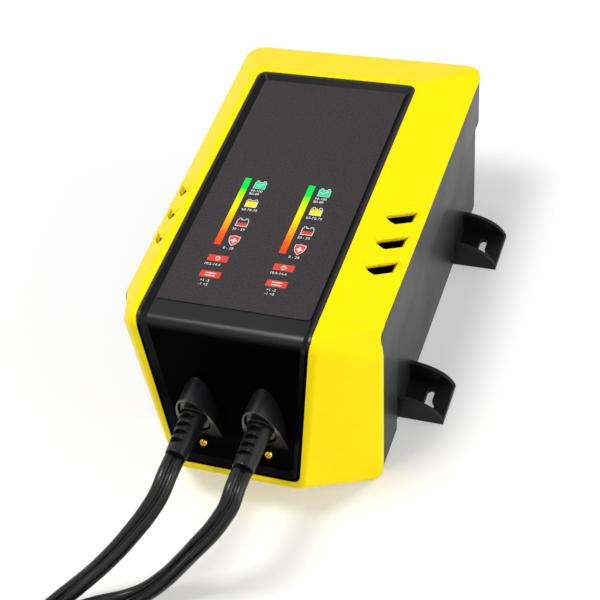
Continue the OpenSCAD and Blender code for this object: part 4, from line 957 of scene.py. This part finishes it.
class CHARGER_OT_inlet(bpy.types.Operator):
    """Makes the two-pole mains inlet and finishes its pins"""

    bl_idname = "charger.inlet"
    bl_label = "Mains inlet"

    def execute(self, context):
        sizes = context.scene.charger_sizes
        # Glass-filled nylon: black, satin, slightly mottled by the fibres
        nylon = grained("nylon_inlet", linear("#161618"), 0.42, 0.8, 0.03, tone=0.1,
                        round_edges=sizes.edge_round)[0]
        dressed("mains_inlet", "inlet_body", nylon)
        # Nickel-plated brass: a cool bright metal, drawn along the pin
        nickel = grained("nickel_plated_brass", linear("#C8C6BE"), 0.22, 0.5, 0.01,
                         stretch=(1, 0.1, 1), Metallic=1.0)[0]
        paint(nickel, "inlet_pin_1", "inlet_pin_2")
        return {"FINISHED"}


INNER_FINISHES = (
    # name, colour, roughness, grain and its height (mm), other settings, nodes
    # Epoxy-glass laminate under solder mask: green and glossy, the weave just showing
    ("fr4_solder_mask", "#11552F", 0.35, 1.2, 0.02, {"tone": 0.12},
     ("main_board", "indicator_board")),
    # Sintered ferrite: charcoal, dull and fine-pored
    ("sintered_ferrite", "#2A2A2C", 0.6, 0.6, 0.03, {"tone": 0.1},
     ("transformer_core", "choke_core")),
    # Shrunk PVC sleeve: glossy dark blue that ripples slightly
    ("shrunk_pvc_sleeve", "#1B2A55", 0.28, 3.0, 0.05, {"tone": 0.08},
     ("bulk_capacitor_1", "bulk_capacitor_2", "output_capacitor_left", "output_capacitor_right")),
    # Extruded aluminium: satin metal with die lines along the extrusion
    ("extruded_aluminium", "#C3C5C8", 0.36, 0.5, 0.02, {"stretch": (1, 0.02, 1), "Metallic": 1.0},
     ("heatsink_left", "heatsink_right")),
    # Transfer-moulded epoxy: matt black with a fine grain
    ("moulded_epoxy", "#1B1B1D", 0.6, 0.5, 0.02, {"tone": 0.08},
     ("power_device_1", "power_device_2", "power_device_3", "power_device_4")),
    # Polyamide terminal block: satin green
    ("polyamide_terminal", "#226B3C", 0.45, 0.8, 0.02, {"tone": 0.06},
     ("terminal_left", "terminal_right", "mains_terminal")),
    # Silicone wire: red for the output cores, brown for the mains
    ("silicone_wire_red", "#A4231C", 0.5, 0.8, 0.02, {"tone": 0.06},
     ("inner_lead_left", "inner_lead_right")),
    ("silicone_wire_brown", "#6E4326", 0.5, 0.8, 0.02, {"tone": 0.06},
     ("mains_wire_1", "mains_wire_2")),
    # Drawn glass tube with plated caps: clear and bright
    ("drawn_glass_fuse", "#E4E8EA", 0.06, 2.0, 0.01,
     {"tone": 0.02, "gloss": 0.02, "Transmission_Weight": 0.85}, ("mains_fuse",)),
)


class CHARGER_OT_electronics(bpy.types.Operator):
    """Finishes the boards and the parts on them, and the wires between them"""

    bl_idname = "charger.electronics"
    bl_label = "Electronics"

    def execute(self, context):
        for name, code, rough, grain, height, others, nodes in INNER_FINISHES:
            paint(grained(name, linear(code), rough, grain, height, **others)[0], *nodes)
        # Enamelled copper wire: orange-brown metal in 0.8 mm turns that ring the winding
        copper = surface("enamelled_copper_wire", Metallic=1.0, Roughness=0.3, Coat_Weight=0.5)
        # PVC ribbon cable: grey cores side by side, 1.26 mm apart
        ribbon = surface("ribbed_pvc_ribbon", Roughness=0.5)
        for (_, tree, shader), axis, scale, low, high in (
            (copper, "Z", FINE_BANDS, "#8A4A22", "#D9894C"),
            (ribbon, "X", CORE_BANDS, "#77797D", "#A2A4A8"),
        ):
            place = add_node(tree, "TexCoord").outputs["Object"]
            turns = add_node(tree, "TexWave", {"Vector": place}, Scale=scale, bands_direction=axis)
            # Painted shade between the turns and between the cores, and a painted highlight on
            # their tops
            ridged(tree, shader, turns.outputs["Fac"], 0.2, low, high, top=0.6)
        paint(copper[0], "transformer_winding", "choke_winding")
        paint(ribbon[0], "ribbon_cable")
        return {"FINISHED"}


# ---- stage

LAMPS = (
    # name, place, what it looks at, size, watts
    ("overhead_softbox", (-0.4, -0.3, 1.9), (0.0, -0.05, 0.05), 0.6, 24.5),
    ("right_softbox", (1.4, -0.1, 0.55), (0.0, -0.05, 0.05), 1.2, 11.5),
    ("left_softbox", (-1.2, 0.4, 1.1), (0.0, 0.0, 0.05), 1.2, 2.0),
)
# The share of the paper's white that no shadow darkens, its half width and its height (m), and the
# world's strength as a lamp and as it is seen
PAPER_SHARE, PAPER_HALF, PAPER_Z = 0.35, 6, -0.0005
WORLD_LIGHT, WORLD_SEEN = 0.33, 1.0
CAMERA_PLACE, CAMERA_TURN = (0.29849, -0.53812, 0.70446), (41.43461, 9.68941, 19.09620)
LENS, SENSOR, NEAREST = 91.717, 36, 0.05


class CHARGER_OT_stage(bpy.types.Operator):
    """Makes the pale floor, the soft lamps, the world and the camera"""

    bl_idname = "charger.stage"
    bl_label = "Stage"

    def execute(self, context):
        scene = context.scene
        # White paper: matt; a share of its white is its own light, so its shadows stay pale
        paper, tree, shader = surface("white_paper", Roughness=1.0, Base_Color=linear("#FFFFFF"),
                                      Specular_IOR_Level=0.0)
        share = add_node(tree, "Math", {0: seen_rays(tree)}, operation="MULTIPLY")
        share.inputs[1].default_value = PAPER_SHARE
        white = add_node(tree, "Emission", Strength=1.0)
        blend = add_node(tree, "MixShader", {0: share, 1: shader, 2: white})
        output = next(n for n in tree.nodes if n.type == "OUTPUT_MATERIAL")
        feed(output, {0: blend})
        mesh = bpy.data.meshes.new("floor")
        flat = box(-PAPER_HALF, PAPER_HALF, -PAPER_HALF, PAPER_HALF).tolist()
        mesh.from_pydata([(*corner, PAPER_Z) for corner in flat], [], [(0, 1, 2, 3)])
        mesh.materials.append(paper)
        floor = bpy.data.objects.new("floor", mesh)
        scene.collection.objects.link(floor)
        for name, place, target, size, watts in LAMPS:
            data = bpy.data.lights.new(name, "AREA")
            data.size, data.energy = size, watts
            lamp = bpy.data.objects.new(name, data)
            lamp.location = place
            back = np.array(place) - np.array(target)
            lamp.rotation_euler = (math.acos(back[2] / np.linalg.norm(back)), 0,
                                   math.atan2(back[1], back[0]) + math.pi / 2)
            scene.collection.objects.link(lamp)
        world = bpy.data.worlds.new("studio")
        world.use_nodes = True
        scene.world = world
        tree = world.node_tree
        back = next(n for n in tree.nodes if n.type == "BACKGROUND")
        level = add_node(tree, "MapRange", {"Value": seen_rays(tree)}, To_Min=WORLD_LIGHT,
                         To_Max=WORLD_SEEN)
        feed(back, {"Strength": level})
        back.inputs["Color"].default_value = (1, 1, 1, 1)
        lens = bpy.data.cameras.new("camera")
        lens.sensor_width, lens.lens, lens.clip_start = SENSOR, LENS, NEAREST
        camera = bpy.data.objects.new("camera", lens)
        camera.location = CAMERA_PLACE
        camera.rotation_euler = [math.radians(v) for v in CAMERA_TURN]
        scene.collection.objects.link(camera)
        scene.camera = camera
        scene.view_settings.view_transform = "Standard"
        return {"FINISHED"}


# ---- add-on

STEPS = ("stage", "housing", "tray", "film", "reliefs", "connectors", "leads", "inlet",
         "electronics")


class CHARGER_PT_panel(bpy.types.Panel):
    """Lists the steps that dress the charger, and their sizes and colours"""

    bl_idname = "CHARGER_PT_panel"
    bl_label = "Battery charger"
    bl_space_type = "VIEW_3D"
    bl_region_type = "UI"
    bl_category = "Charger"

    def draw(self, context):
        for step in STEPS:
            self.layout.operator(f"charger.{step}")
        for group in settings(context):
            rows = self.layout.box()
            for name in group.__annotations__:
                rows.prop(group, name)


CLASSES = (
    CHARGER_PG_sizes, CHARGER_PG_colours, CHARGER_OT_stage, CHARGER_OT_housing, CHARGER_OT_tray,
    CHARGER_OT_film, CHARGER_OT_reliefs, CHARGER_OT_connectors, CHARGER_OT_leads, CHARGER_OT_inlet,
    CHARGER_OT_electronics, CHARGER_PT_panel,
)


def register():
    for cls in CLASSES:
        bpy.utils.register_class(cls)
    bpy.types.Scene.charger_sizes = bpy.props.PointerProperty(type=CHARGER_PG_sizes)
    bpy.types.Scene.charger_colours = bpy.props.PointerProperty(type=CHARGER_PG_colours)


def unregister():
    del bpy.types.Scene.charger_colours
    del bpy.types.Scene.charger_sizes
    for cls in reversed(CLASSES):
        bpy.utils.unregister_class(cls)


def main():
    register()
    for step in STEPS:
        getattr(bpy.ops.charger, step)()


if __name__ == "__main__":
    main()
